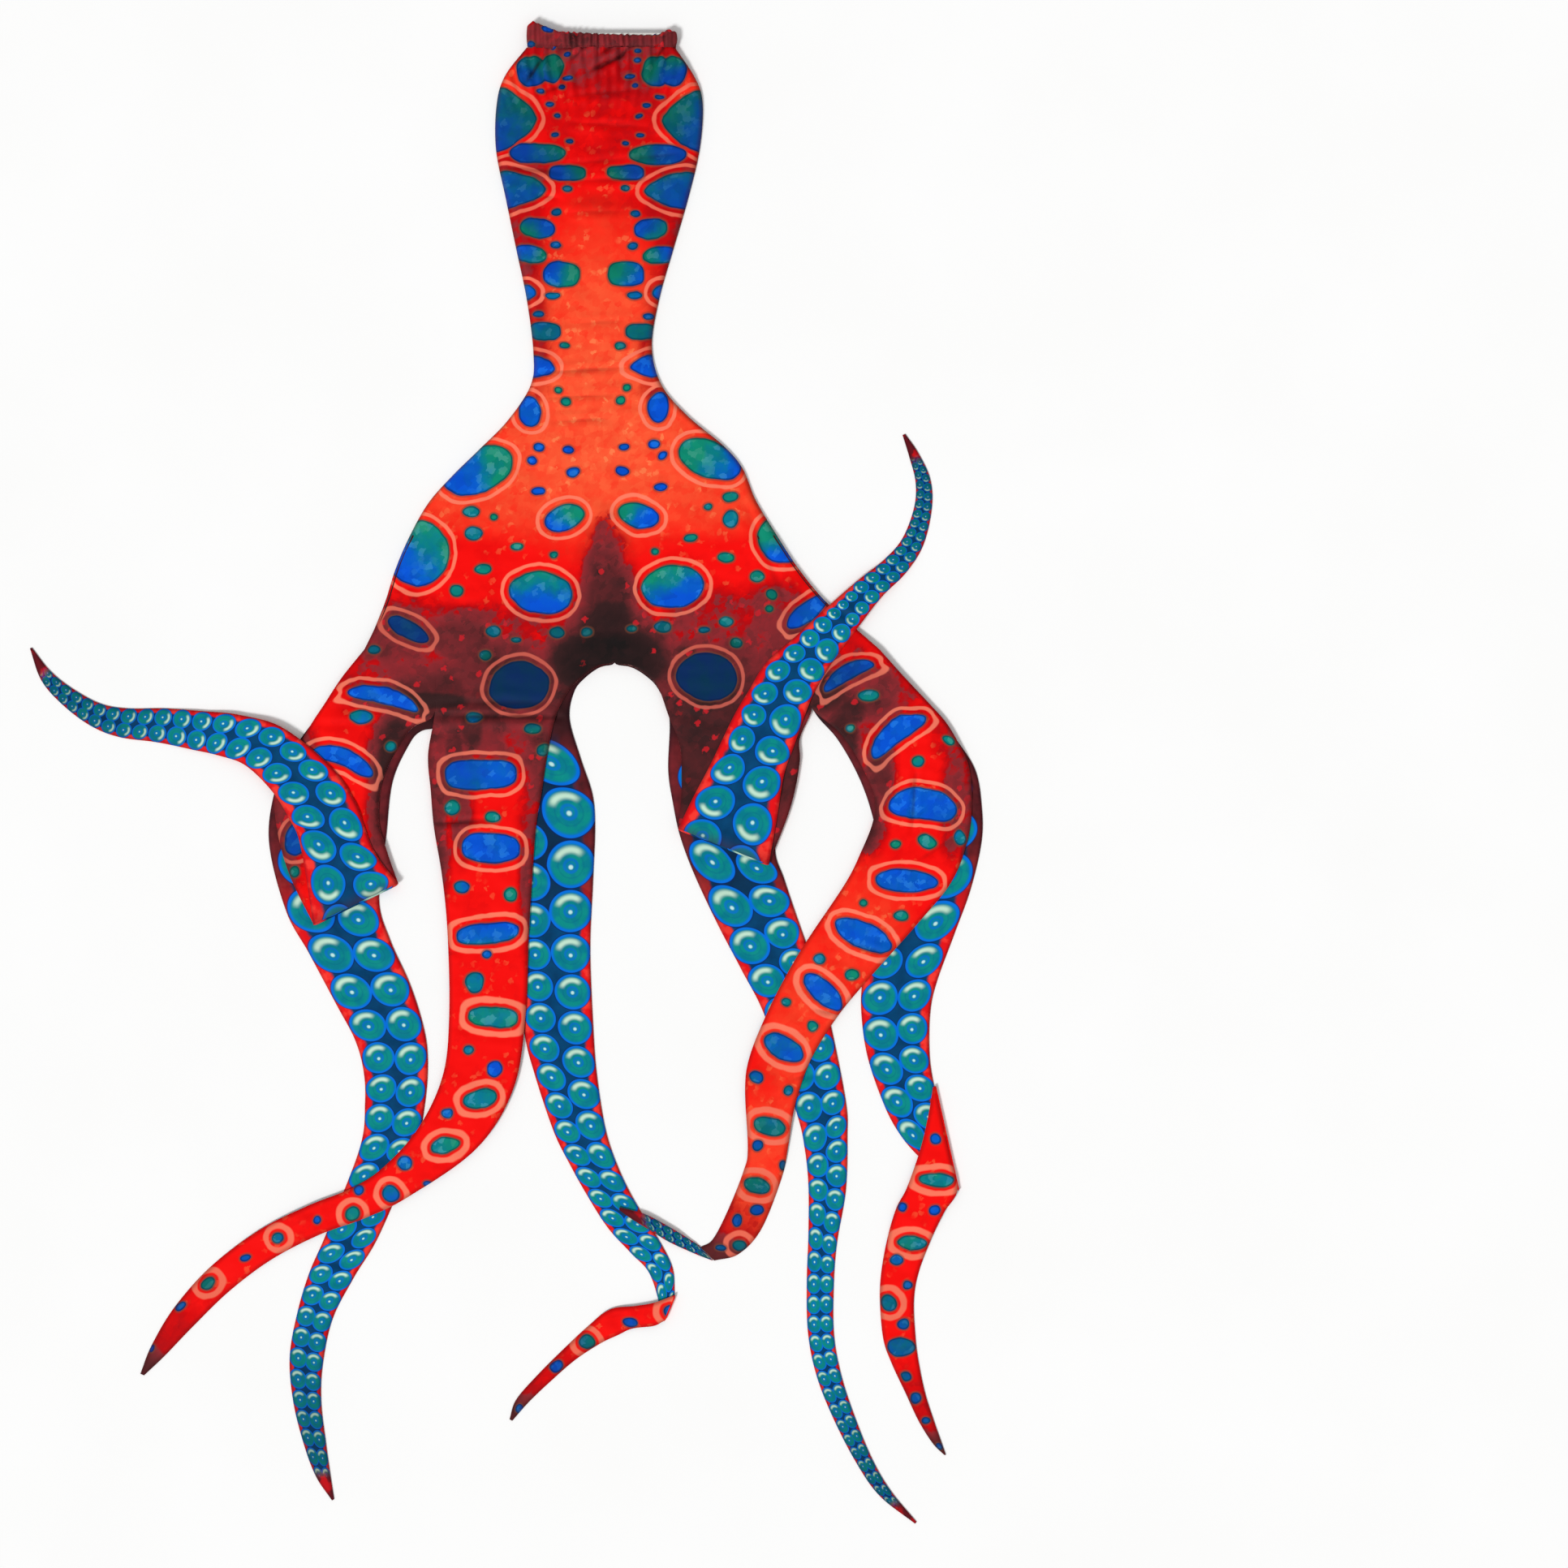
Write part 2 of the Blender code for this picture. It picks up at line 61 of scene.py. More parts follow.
SEAM_RISE = 1.2 * MM  # height of a tube's seams over its underside, on the upper face
UNDER_SEAM = 0.15 * MM  # and on the lower face
UNDER_MIDDLE = 0.05 * MM  # height of the lower face between its seams
CROWN = 3.4 * MM  # how far a wide tube's upper face stands over its seams
CROWN_WIDTH = 0.10
EDGE_ROUND = 10.0 * MM  # the upper face rounds off over this distance from a seam
SIDE_ROUND = 16.0 * MM  # and the body over this one
FRONT_TOP = 10.6 * MM  # height of the front layer over the body
BACK_LOW = 0.3 * MM  # height of the back panel's underside
OVER_FACING = 9.9 * MM  # the front panel stays over the facings
WAIST_LIFT = 4.6 * MM  # by which the gathers lift the front panel near the waist
WAIST_RISE_Y = (1.22, 1.34)
HEM_Y = 0.237  # where the body ends and the tentacles start
CREASE_BULGE = 3.0 * MM  # how far a fold's cloth stands out past the crease
BACK_FADED = 0.19  # the back tentacles' suckers fade in from the dark lining by here
RING_FROM, RING_TO = 8.8 * MM, 15.2 * MM  # a ring lies between these distances from its spot
LOW_RING_FROM = 6.5 * MM  # below LOW_RINGS_Y the rings come nearer and are wider
LOW_RINGS_Y = -0.15
SEAM_SHADE_REACH = 10.0 * MM  # painted shade: the red print darkens over this distance to a seam, where the cloth rounds down

WAIST_X = (0.041, 0.314)
WAIST_LOW = 1.3475
WAIST_HEIGHT = 16.0 * MM
GATHER_PUFF = 4.2 * MM  # how far the casing's ruffles stand out
ELASTIC_LOW, ELASTIC_WIDE = 1.3515, 0.0215
WELD = 0.02 * MM

LENS_MM, SENSOR_MM = 85.0, 36.0
CAMERA_AT = (0.514, -0.0116, 6.84)  # looking straight down
WORLD_STRENGTH = 0.50
KEY_STRENGTH = 2.2
KEY_TURN = (32, -34)
KEY_ANGLE = 15
FLOOR_HALF, FLOOR_Z = 9.0, -0.2 * MM


def metres(places, table):
    """A table with the first figures of each row turned from mm to metres."""
    return [(*(value / 1000.0 for value in row[:places]), *row[places:]) for row in table]


# Outlines in mm, as the CAD part has them. A body row is (left x, left y, right x, right y), from the waist
# down. A tentacle row ends with the height of its underside, still in mm, and they run from root to tip.

BODY_EDGES = metres(4, [
    (39, 1347, 313, 1347), (-2, 1295, 351, 1290), (-17, 1242, 364, 1242), (-18, 1160, 358, 1160),
    (0, 1070, 337, 1070), (19, 978, 309, 974), (39, 882, 283, 882), (51, 785, 270, 795),
    (46, 725, 288, 725), (4, 660, 336, 668), (-50, 605, 403, 612), (-99, 557, 438, 570),
    (-143, 507, 462, 512), (-177, 447, 501, 447), (-203, 387, 540, 387), (-222, 327, 589, 327),
    (-242, 275, 649, 273), (-260, 237, 690, 237),
])

# A tentacle that folds back on itself has a table on each side of its crease, root and free
TENTACLES = {key: metres(4, rows) for key, rows in {
    "front_1_root": [
        (-260, 237, -129, 237, 8.6), (-302, 185, -129, 174, 7.4), (-335, 135, -133, 115, 6),
        (-358, 100, -172, 92, 6), (-386, 50, -200, 52, 6), (-423, -24, -227, -6, 6),
        (-422, -94, -234, -78, 6), (-398, -181, -218, -138, 6), (-354, -271, -198, -195, 6),
    ],
    "front_1_free": [
        (-354, -271, -198, -195, 12), (-378, -124, -243, -133, 12), (-399, -75, -275, -48, 12),
        (-431, -24, -321, 20, 12), (-480, 23, -410, 92, 11), (-530, 41, -491, 116, 7),
        (-575, 51, -560, 123, 3), (-642, 65, -630, 128, 0), (-714, 75, -699, 128, 0),
        (-767, 96, -749, 137, 0), (-819, 135, -801, 165, 0), (-858, 180, -842, 198, 0),
        (-879, 239, -875, 240, 0),
    ],
    "front_2_whole": [
        (-129, 237, 201, 237, 8.6), (-129, 222, 200, 213, 8.4), (-129, 210, 172, 207, 8.1),
        (-129, 190, 142, 186, 7.7), (-129, 166, 118, 162, 7.2), (-131, 115, 93, 114, 6),
        (-143, 42, 77, 42, 6), (-138, -25, 67, -25, 6), (-132, -93, 56, -93, 6), (-117, -183, 49, -190, 6),
        (-107, -288, 43, -288, 6), (-104, -438, 37, -438, 6), (-116, -550, 15, -573, 6),
        (-162, -648, -53, -684, 6), (-230, -723, -180, -774, 6), (-290, -760, -260, -813, 6),
        (-365, -790, -342, -843, 6), (-455, -835, -431, -889, 3), (-545, -903, -510, -948, 0),
        (-612, -978, -578, -1014, 0), (-654, -1048, -630, -1068, 0), (-675, -1101, -668, -1104, 0),
    ],
    "front_3_root": [
        (201, 237, 501, 237, 8.6), (202, 213, 516, 216, 8.4), (232, 207, 523, 205, 8.1),
        (260, 190, 532, 192, 7.7), (282, 166, 544, 169, 7.2), (302, 111, 565, 129, 6),
        (322, 60, 543, 72, 6), (325, 11, 543, 27, 6), (324, -40, 526, -55, 6), (319, -94, 486, -160, 6),
    ],
    "front_3_free": [
        (319, -94, 486, -160, 12), (345, -39, 501, -75, 12), (378, 24, 514, 5, 12), (421, 113, 532, 57, 12),
        (451, 164, 559, 132, 12), (481, 212, 574, 165, 12), (538, 263, 601, 210, 12),
        (594, 315, 649, 275, 12), (649, 363, 694, 333, 10), (697, 401, 738, 377, 4),
        (732, 441, 771, 429, 0), (754, 498, 787, 498, 0), (757, 546, 784, 552, 0), (745, 594, 762, 600, 0),
        (733, 633, 738, 635, 0),
    ],
    "front_4_whole": [
        (501, 237, 690, 237, 8.6), (538, 183, 736, 186, 7.4), (565, 129, 784, 135, 6),
        (612, 87, 814, 101, 6), (640, 51, 838, 60, 6), (662, 12, 856, 18, 6), (681, -37, 861, -45, 6),
        (678, -81, 853, -114, 6), (657, -135, 823, -192, 6), (627, -195, 760, -270, 6),
        (556, -301, 658, -385, 6), (517, -367, 606, -450, 6), (481, -438, 564, -519, 6),
        (451, -513, 541, -580, 6), (442, -573, 531, -621, 6), (447, -684, 522, -679, 3),
        (439, -727, 510, -738, 0), (409, -802, 472, -834, 0), (382, -853, 430, -880, 0),
        (360, -867, 385, -892, 0),
    ],
    "front_4_tip": [
        (357, -864, 382, -892, 0), (345, -856, 349, -879, 1.5), (307, -832, 300, -856, 5),
        (261, -807, 265, -834, 6), (231, -798, 232, -814, 6), (210, -793, 210, -798, 6),
    ],
    "back_1_whole": [
        (-260, 237, -129, 237, 0), (-299, 185, -129, 170, 0), (-330, 138, -129, 116, 0),
        (-348, 113, -130, 93, 0), (-366, 90, -156, 86, 0), (-384, 64, -177, 64, 0), (-417, 9, -209, -7, 0),
        (-438, -109, -221, -109, 0), (-407, -243, -234, -226, 0), (-363, -325, -213, -301, 0),
        (-314, -417, -177, -381, 0), (-279, -483, -152, -460, 0), (-263, -540, -144, -520, 0),
        (-260, -600, -149, -600, 0), (-270, -685, -168, -685, 0), (-332, -843, -233, -843, 0),
        (-362, -912, -281, -924, 0), (-384, -984, -320, -1000, 0), (-399, -1068, -338, -1083, 0),
        (-393, -1150, -341, -1153, 0), (-374, -1228, -332, -1231, 0), (-351, -1290, -324, -1288, 0),
        (-321, -1335, -317, -1333, 0),
    ],
    "back_2_root": [
        (-129, 237, 201, 237, 0), (-129, 222, 200, 211, 0), (-129, 208, 174, 204, 0),
        (-129, 186, 146, 184, 0), (-129, 160, 126, 158, 0), (-129, 93, 118, 108, 0), (-85, 40, 139, 34, 0),
        (-34, -30, 160, -30, 0), (-8, -90, 165, -90, 0), (6, -195, 161, -195, 0), (18, -319, 156, -319, 0),
        (34, -469, 162, -469, 0), (54, -550, 169, -555, 0), (88, -652, 184, -648, 0),
        (115, -708, 204, -711, 0), (150, -771, 232, -771, 0), (189, -832, 267, -829, 0),
        (232, -879, 292, -870, 0), (267, -919, 309, -909, 0), (292, -1003, 312, -955, 0),
    ],
    "back_2_free": [
        (312, -955, 292, -1003, 6), (274, -969, 273, -1012, 6), (240, -975, 234, -1017, 4.5),
        (192, -982, 208, -1029, 2), (151, -1014, 175, -1045, 0), (105, -1057, 129, -1075, 0),
        (58, -1104, 84, -1114, 0), (19, -1149, 43, -1153, 0), (7, -1185, 12, -1188, 0),
    ],
    "back_3_whole": [
        (201, 237, 501, 237, 0), (202, 211, 510, 214, 0), (232, 204, 514, 203, 0), (260, 187, 521, 189, 0),
        (282, 163, 528, 166, 0), (302, 111, 540, 117, 0), (300, 15, 523, 15, 0), (309, -48, 505, -48, 0),
        (322, -108, 498, -135, 0), (348, -178, 514, -186, 0), (391, -270, 532, -240, 0),
        (435, -354, 558, -315, 0), (480, -444, 589, -408, 0), (537, -618, 627, -591, 0),
        (552, -684, 631, -666, 0), (559, -753, 628, -763, 0), (559, -843, 612, -858, 0),
        (556, -930, 606, -933, 0), (558, -1023, 606, -1026, 0), (573, -1101, 619, -1101, 0),
        (603, -1179, 643, -1176, 0), (646, -1263, 676, -1257, 0), (690, -1326, 711, -1317, 0),
        (756, -1378, 759, -1375, 0),
    ],
    "back_4_root": [
        (501, 237, 690, 237, 0), (543, 174, 736, 183, 0), (573, 117, 784, 129, 0), (612, 72, 829, 75, 0),
        (648, 10, 867, 15, 0), (673, -55, 879, -51, 0), (688, -130, 879, -117, 0),
        (682, -213, 859, -205, 0), (670, -295, 829, -288, 0), (658, -381, 796, -378, 0),
        (657, -438, 784, -435, 0), (667, -510, 783, -513, 0), (690, -582, 792, -573, 0),
        (718, -643, 807, -633, 0), (759, -696, 820, -693, 0), (832, -759, 835, -757, 0),
    ],
    "back_4_free": [
        (789, -571, 792, -570, 6), (780, -625, 805, -630, 6), (766, -684, 819, -693, 6),
        (741, -756, 834, -760, 6), (721, -795, 810, -802, 4.5), (705, -850, 786, -852, 2),
        (694, -910, 763, -913, 0), (691, -963, 754, -966, 0), (697, -1035, 757, -1035, 0),
        (712, -1080, 763, -1081, 0), (739, -1138, 775, -1138, 0), (763, -1189, 792, -1191, 0),
        (789, -1230, 805, -1228, 0), (810, -1251, 813, -1251, 0),
    ],
}.items()}

# A fold that runs along its tentacle's side
FOLD_LINES = {"back_4": ((0.792, -0.570), (0.835, -0.762))}

# Suckers on the faces that show, some down each row: (x, y in mm, its number in the row)
SUCKERS = {key: metres(2, rows) for key, rows in {
    "back_1_suckers_left": [
        (-402, -160, 0), (-323, -327, 2), (-249, -459, 4), (-236, -576, 6), (-264, -733, 9),
        (-324, -879, 12), (-374, -994, 15), (-384, -1110, 18), (-356, -1252, 22),
    ],
    "back_1_suckers_right": [
        (-275, -261, 1), (-207, -388, 3), (-176, -519, 5), (-192, -690, 8), (-240, -813, 11),
        (-308, -928, 14), (-348, -1042, 17), (-350, -1152, 20), (-342, -1222, 22),
    ],
    "back_2_suckers_root_left": [
        (48, -115, 1), (55, -265, 3), (63, -385, 5), (75, -498, 7), (100, -606, 9), (156, -738, 12),
        (225, -847, 15), (277, -912, 17),
    ],
    "back_2_suckers_root_right": [
        (103, 35, 0), (118, -165, 2), (117, -327, 4), (120, -465, 6), (150, -583, 8), (181, -699, 10),
        (219, -789, 12), (292, -892, 15),
    ],
    "front_1_suckers_free_left": [
        (-329, -195, 0), (-362, -70, 2), (-422, 8, 4), (-536, 62, 7), (-647, 83, 10), (-737, 92, 13),
        (-804, 128, 16), (-836, 155, 18), (-864, 194, 20),
    ],
    "front_1_suckers_free_right": [
        (-252, -201, 0), (-297, -82, 2), (-356, 17, 4), (-434, 69, 6), (-522, 105, 8), (-635, 111, 11),
        (-728, 119, 14), (-791, 152, 17), (-846, 194, 20),
    ],
    "front_3_suckers_free_left": [
        (361, -106, 0), (408, 23, 2), (448, 120, 4), (505, 200, 6), (556, 263, 8), (607, 312, 10),
        (627, 338, 12), (675, 375, 14), (726, 423, 17), (753, 471, 20), (763, 542, 24), (745, 609, 28),
    ],
    "front_3_suckers_free_right": [
        (460, -87, 0), (477, -9, 1), (507, 111, 3), (565, 200, 5), (625, 272, 7), (649, 317, 9),
        (696, 356, 11), (745, 410, 14), (774, 464, 17), (781, 537, 21), (756, 599, 25),
    ],
    "back_3_suckers_left": [
        (388, -151, 0), (423, -237, 1), (490, -373, 3), (550, -612, 7), (567, -718, 9), (567, -852, 12),
        (567, -973, 15), (585, -1077, 18), (619, -1201, 22), (690, -1314, 27),
    ],
    "back_3_suckers_right": [
        (468, -165, 0), (516, -288, 2), (535, -340, 3), (585, -498, 6), (600, -603, 8), (604, -735, 11),
        (594, -864, 14), (591, -1008, 18), (613, -1137, 22), (666, -1270, 27),
    ],
    "back_4_suckers_root_left": [
        (705, -342, 2), (682, -405, 3), (691, -474, 4), (705, -537, 5), (724, -597, 6), (756, -655, 7),
    ],
    "back_4_suckers_root_right": [
        (859, -93, -1), (832, -183, 0), (793, -268, 1), (766, -336, 2), (750, -403, 3), (748, -463, 4),
        (775, -570, 6),
    ],
}.items()}

# The print. A spot is (x, y, width and height in mm, tilt in degrees, tone from 0 blue to 1 green), then if
# needed the direction in degrees of its green side (0 for none), how square it is (2 is an ellipse, more is
# squarer) and how far in mm it bends.
FRONT_RINGED = metres(2, [
    (-15, 1215, 147, 120, 0, 0.3, 40, 1.45), (364, 1212, 156, 118, 0, 0.3, 140, 1.45),
    (3, 1086, 144, 69, 0, 0.22, 60, 1.6), (334, 1083, 153, 69, 0, 0.22, 120, 1.6),
    (33, 896, 51, 30, 0, 0.4), (292, 896, 45, 30, 0, 0.4), (48, 759, 84, 44, -5, 0.05, 0, 1.7),
    (270, 761, 84, 42, 5, 0.05, 0, 1.6), (46, 675, 42, 57, 8, 0.08), (282, 683, 42, 57, -8, 0.08),
    (-50, 567, 135, 81, 25, 0.5, 20), (376, 587, 123, 69, -20, 0.8, 160), (108, 480, 75, 48, 18, 0.5, 45),
    (246, 485, 75, 48, -18, 0.5, 150), (-162, 414, 117, 126, 0, 0.5, 45), (511, 441, 93, 90, -40, 0.6, 120),
    (66, 341, 117, 81, -8, 0.45, 90), (309, 353, 117, 81, 5, 0.45, 110), (-180, 273, 84, 33, -28, 0.1),
    (556, 305, 93, 36, 38, 0.1), (25, 170, 112, 88, 8, 0.15), (372, 186, 112, 88, -8, 0.15),
    (-224, 152, 134, 32, -15, 0.1, 0, 2.1, -12), (-296, 36, 124, 34, -22, 0.1, 0, 2.1, -12),
    (-386, -114, 45, 66, -20, 0.1), (-46, 6, 134, 57, 2, 0.15, 0, 2.8),
    (-26, -130, 110, 56, -2, 0.1, 0, 2.6), (-32, -287, 114, 40, 6, 0.25, -90, 2.8),
    (-21, -441, 94, 39, -5, 0.8, 0, 2.6), (-47, -592, 66, 36, 12, 0.8), (-111, -679, 57, 30, 12, 0.8),
    (-210, -768, 30, 33, 50, 0.4), (-282, -804, 30, 27, 30, 0.8), (-420, -849, 24, 20, 20, 0.6),
    (-549, -933, 30, 22, 30, 0.8), (630, 195, 106, 30, 28, 0.15, 0, 2.1, -10),
    (718, 85, 124, 42, 38, 0.1, 0, 2.1, -14), (771, -48, 126, 60, -6, 0.1, 0, 2.4, -8),
    (741, -190, 117, 44, -4, 0.2), (660, -291, 117, 50, -25, 0.2), (586, -396, 93, 42, -42, 0.1),
    (513, -498, 81, 45, -32, 0.4), (487, -643, 63, 36, -12, 0.8), (462, -753, 51, 30, -15, 0.8),
    (432, -862, 27, 21, -10, 0.7),
])
FRONT_DOTS = metres(2, [
    (49, 1303, 54, 58, 12, 0.45, 55, 2.4), (86, 1308, 46, 52, -20, 0.85, 60, 2.4),
    (278, 1302, 52, 56, -10, 0.8, 140, 2.4), (310, 1302, 50, 54, -16, 0.35, 120, 2.4),
    (60, 1152, 105, 38, 0, 0.35, 20, 2.4), (282, 1149, 105, 38, 0, 0.35, 160, 2.4),
    (114, 1116, 71, 29, 0, 0.4, 15, 2.8), (223, 1116, 71, 29, 0, 0.4, 190, 2.8),
    (114, 1088, 21, 12, 0, 0.5), (220, 1088, 21, 12, 0, 0.5), (93, 1043, 20, 14, 0, 0.5),
    (240, 1040, 20, 14, 0, 0.5), (61, 1014, 66, 38, -8, 0.4, 225, 2.4),
    (268, 1013, 66, 38, 8, 0.4, 315, 2.4), (94, 981, 20, 14, 0, 0.4), (235, 980, 20, 14, 0, 0.4),
    (46, 966, 63, 33, -10, 0.5, 320, 2.2), (285, 965, 62, 33, 10, 0.5, 220, 2.2),
    (105, 929, 69, 48, 0, 0.6, 330, 2.5), (222, 929, 69, 48, 0, 0.7, 170, 2.5), (87, 890, 28, 14, 0, 0.5),
    (238, 890, 28, 14, 0, 0.5), (61, 854, 22, 12, 0, 0.4), (264, 852, 22, 12, 0, 0.4),
    (73, 824, 58, 32, 0, 0.62, 0, 2.6), (250, 824, 58, 32, 0, 0.62, 0, 2.6), (109, 798, 21, 15, 0, 0.9),
    (213, 798, 21, 15, 0, 0.9), (100, 716, 16, 14, -20, 0.95), (222, 719, 16, 14, 20, 0.95),
    (112, 693, 20, 16, -20, 0.95), (211, 696, 20, 16, 20, 0.95), (61, 609, 22, 16, -15, 0.05),
    (49, 585, 20, 15, -30, 0.05), (117, 606, 21, 14, 0, 0.05), (126, 564, 26, 18, 15, 0.05),
    (60, 528, 28, 15, 0, 0.05), (219, 611, 21, 14, 10, 0.05), (274, 615, 22, 16, 10, 0.05),
    (289, 594, 18, 15, 40, 0.05), (216, 567, 26, 18, -15, 0.05), (286, 537, 28, 15, 0, 0.05),
    (-63, 491, 33, 21, 0, 0.9), (-20, 482, 16, 14, 0, 0.9), (-60, 452, 33, 27, 0, 0.6),
    (22, 426, 27, 16, 0, 0.9), (88, 410, 16, 14, 0, 0.9), (-42, 386, 32, 20, 5, 0.9),
    (-89, 345, 27, 22, 0, 0.9), (415, 518, 33, 21, 10, 0.9), (372, 500, 16, 14, 0, 0.9),
    (417, 477, 30, 33, -30, 0.65), (340, 443, 27, 16, 5, 0.9), (276, 419, 16, 14, 0, 0.9),
    (409, 407, 32, 20, 0, 0.9), (465, 372, 30, 24, 0, 0.95), (492, 338, 24, 21, 0, 0.9),
    (487, 311, 16, 14, 0, 0.9), (-23, 269, 30, 22, 0, 0.8), (19, 254, 20, 12, 0, 0.6),
    (94, 267, 30, 22, 0, 0.7), (-36, 227, 22, 21, 0, 0.8), (151, 269, 21, 18, 0, 0.8),
    (406, 288, 30, 22, 0, 0.8), (367, 272, 20, 12, 0, 0.6), (291, 279, 30, 22, 0, 0.7),
    (426, 248, 24, 21, 0, 0.8), (232, 276, 21, 14, 0, 0.8), (42, 1355, 14, 10, 0, 0.1),
    (87, 1347, 12, 14, 0, 0.1), (115, 1335, 14, 10, 0, 0.1), (246, 1341, 14, 10, 0, 0.1),
    (246, 1323, 14, 10, 0, 0.1), (321, 1352, 14, 10, 0, 0.1), (117, 1289, 20, 10, 0, 0.2),
    (105, 1274, 14, 9, 0, 0.2), (231, 1292, 20, 10, 0, 0.2), (241, 1275, 14, 9, 0, 0.2),
    (63, 1265, 16, 10, 0, 0.2), (285, 1256, 16, 10, 0, 0.2), (82, 1242, 18, 10, 0, 0.2),
    (261, 1239, 18, 10, 0, 0.2), (96, 1221, 15, 9, 0, 0.2), (246, 1220, 15, 9, 0, 0.2),
    (91, 1187, 15, 9, 0, 0.2), (118, 1176, 15, 9, 0, 0.2), (250, 1185, 15, 9, 0, 0.2),
    (222, 1170, 15, 9, 0, 0.2), (-242, 236, 24, 18, 0, 0.7), (-264, 113, 44, 26, 2, 0.6),
    (-213, 57, 22, 21, 0, 0.8), (-389, -175, 20, 21, 0, 0.9), (-98, -55, 30, 28, 0, 0.85),
    (-24, -73, 28, 21, 0, 0.85), (-59, 111, 33, 21, 0, 0.7), (49, 90, 33, 21, 0, 0.8),
    (70, 50, 27, 21, 20, 0.8), (-80, -202, 30, 26, 0, 0.4), (9, -217, 28, 28, 0, 0.85),
    (-32, -325, 18, 16, 0, 0.3), (-57, -378, 36, 42, 0, 0.65), (-68, -502, 20, 18, 0, 0.6),
    (-21, -537, 33, 30, 50, 0.1), (-108, -619, 22, 20, 0, 0.3), (-185, -711, 28, 27, 0, 0.3),
    (-141, -750, 21, 12, -30, 0.2), (-269, -760, 20, 20, 0, 0.3), (-348, -816, 15, 16, 0, 0.2),
    (-480, -886, 21, 15, 20, 0.1), (-600, -976, 24, 15, 40, 0.1), (-653, -1053, 15, 9, 60, 0.1),
    (670, 152, 38, 22, 0, 0.75), (636, 92, 18, 16, 0, 0.85), (817, 68, 24, 16, -30, 0.85),
    (760, 30, 27, 22, 0, 0.85), (838, -111, 24, 27, 0, 0.7), (778, -118, 36, 26, -20, 0.85),
    (720, -123, 22, 16, 0, 0.9), (661, -229, 16, 15, 0, 0.9), (730, -255, 27, 22, 0, 0.85),
    (640, -363, 26, 22, 0, 0.85), (580, -334, 24, 22, 0, 0.7), (517, -415, 21, 18, 0, 0.85),
    (568, -457, 22, 21, 0, 0.85), (465, -553, 26, 22, 0, 0.3), (522, -577, 20, 21, 0, 0.6),
    (466, -679, 22, 21, 0, 0.4), (511, -718, 15, 20, 0, 0.5), (465, -799, 24, 22, 0, 0.2),
    (427, -816, 21, 24, 0, 0.3), (397, -867, 22, 12, 0, 0.3),
])
BACK_2_RINGED = metres(2, [
    (300, -984, 18, 24, 0, 0.5), (150, -1042, 30, 26, 10, 0.8),
])
BACK_2_DOTS = metres(2, [
    (229, -1006, 27, 18, -10, 0.1), (93, -1086, 27, 21, 30, 0.2), (27, -1167, 15, 21, 30, 0.1),
])
BACK_4_RINGED = metres(2, [
    (795, -742, 66, 27, -3, 0.8), (751, -859, 57, 27, -5, 0.8), (708, -969, 33, 30, -40, 0.7),
])
BACK_4_DOTS = metres(2, [
    (795, -666, 21, 21, 0, 0.2), (733, -793, 18, 18, 0, 0.2), (792, -798, 21, 20, 0, 0.2),
    (721, -891, 26, 22, 0, 0.4), (741, -936, 18, 18, 0, 0.4), (735, -1008, 21, 21, 0, 0.4),
    (730, -1051, 51, 36, 0, 0.5), (738, -1105, 21, 18, 0, 0.5), (757, -1146, 21, 20, 0, 0.4),
    (777, -1186, 18, 15, 0, 0.4), (801, -1236, 15, 12, -50, 0.3),
])
WAIST_SPOTS = metres(2, [
    (79, 1379, 24, 13, -20, 0), (276, 1373, 24, 10, 0, 0), (47, 1352, 16, 12, 0, 0.2),
])

# Soft patches of the print's ground: (x, y, half width and half height in mm, strength)
DARK_PATCHES = metres(2, [
    (830, -30, 20, 80, 0.42), (822, -100, 16, 40, 0.36), (692, 10, 22, 60, 0.66), (-62, 95, 22, 40, 0.72),
    (-95, 50, 16, 70, 0.62), (-150, 142, 95, 18, 0.8), (665, 150, 55, 60, 0.46), (765, 140, 40, 30, 0.3),
    (90, -10, 20, 110, 0.42), (-82, -60, 18, 70, 0.42), (635, 120, 30, 24, 0.7), (560, 215, 60, 24, 0.5),
    (184, 425, 20, 50, 0.42), (184, 370, 36, 70, 0.56), (186, 310, 44, 90, 0.68), (188, 255, 60, 80, 0.82),
    (192, 215, 105, 62, 0.95), (195, 180, 160, 90, 0.62), (-5, 162, 195, 87, 0.62),
    (400, 162, 225, 90, 0.6), (-35, 275, 112, 33, 0.4), (415, 285, 120, 45, 0.42), (500, 290, 60, 50, 0.46),
    (-125, 150, 93, 52, 0.66), (-85, 250, 60, 40, 0.6), (-205, 268, 105, 50, 0.46), (-203, 27, 36, 90, 0.8),
    (-225, -93, 24, 90, 0.55), (-382, 60, 26, 40, 0.4), (-407, -130, 27, 105, 0.5),
    (-117, 35, 45, 75, 0.45), (100, 42, 54, 105, 0.6), (-5, 80, 120, 36, 0.45), (-134, -123, 24, 90, 0.6),
    (67, -63, 30, 105, 0.4), (43, -213, 15, 90, 0.4), (415, 42, 150, 165, 0.75), (498, -93, 45, 105, 0.5),
    (565, 155, 68, 45, 0.75), (618, 50, 30, 82, 0.75), (667, -63, 27, 60, 0.7), (543, 252, 45, 45, 0.4),
    (858, -63, 18, 120, 0.35), (820, 110, 30, 60, 0.3),
])
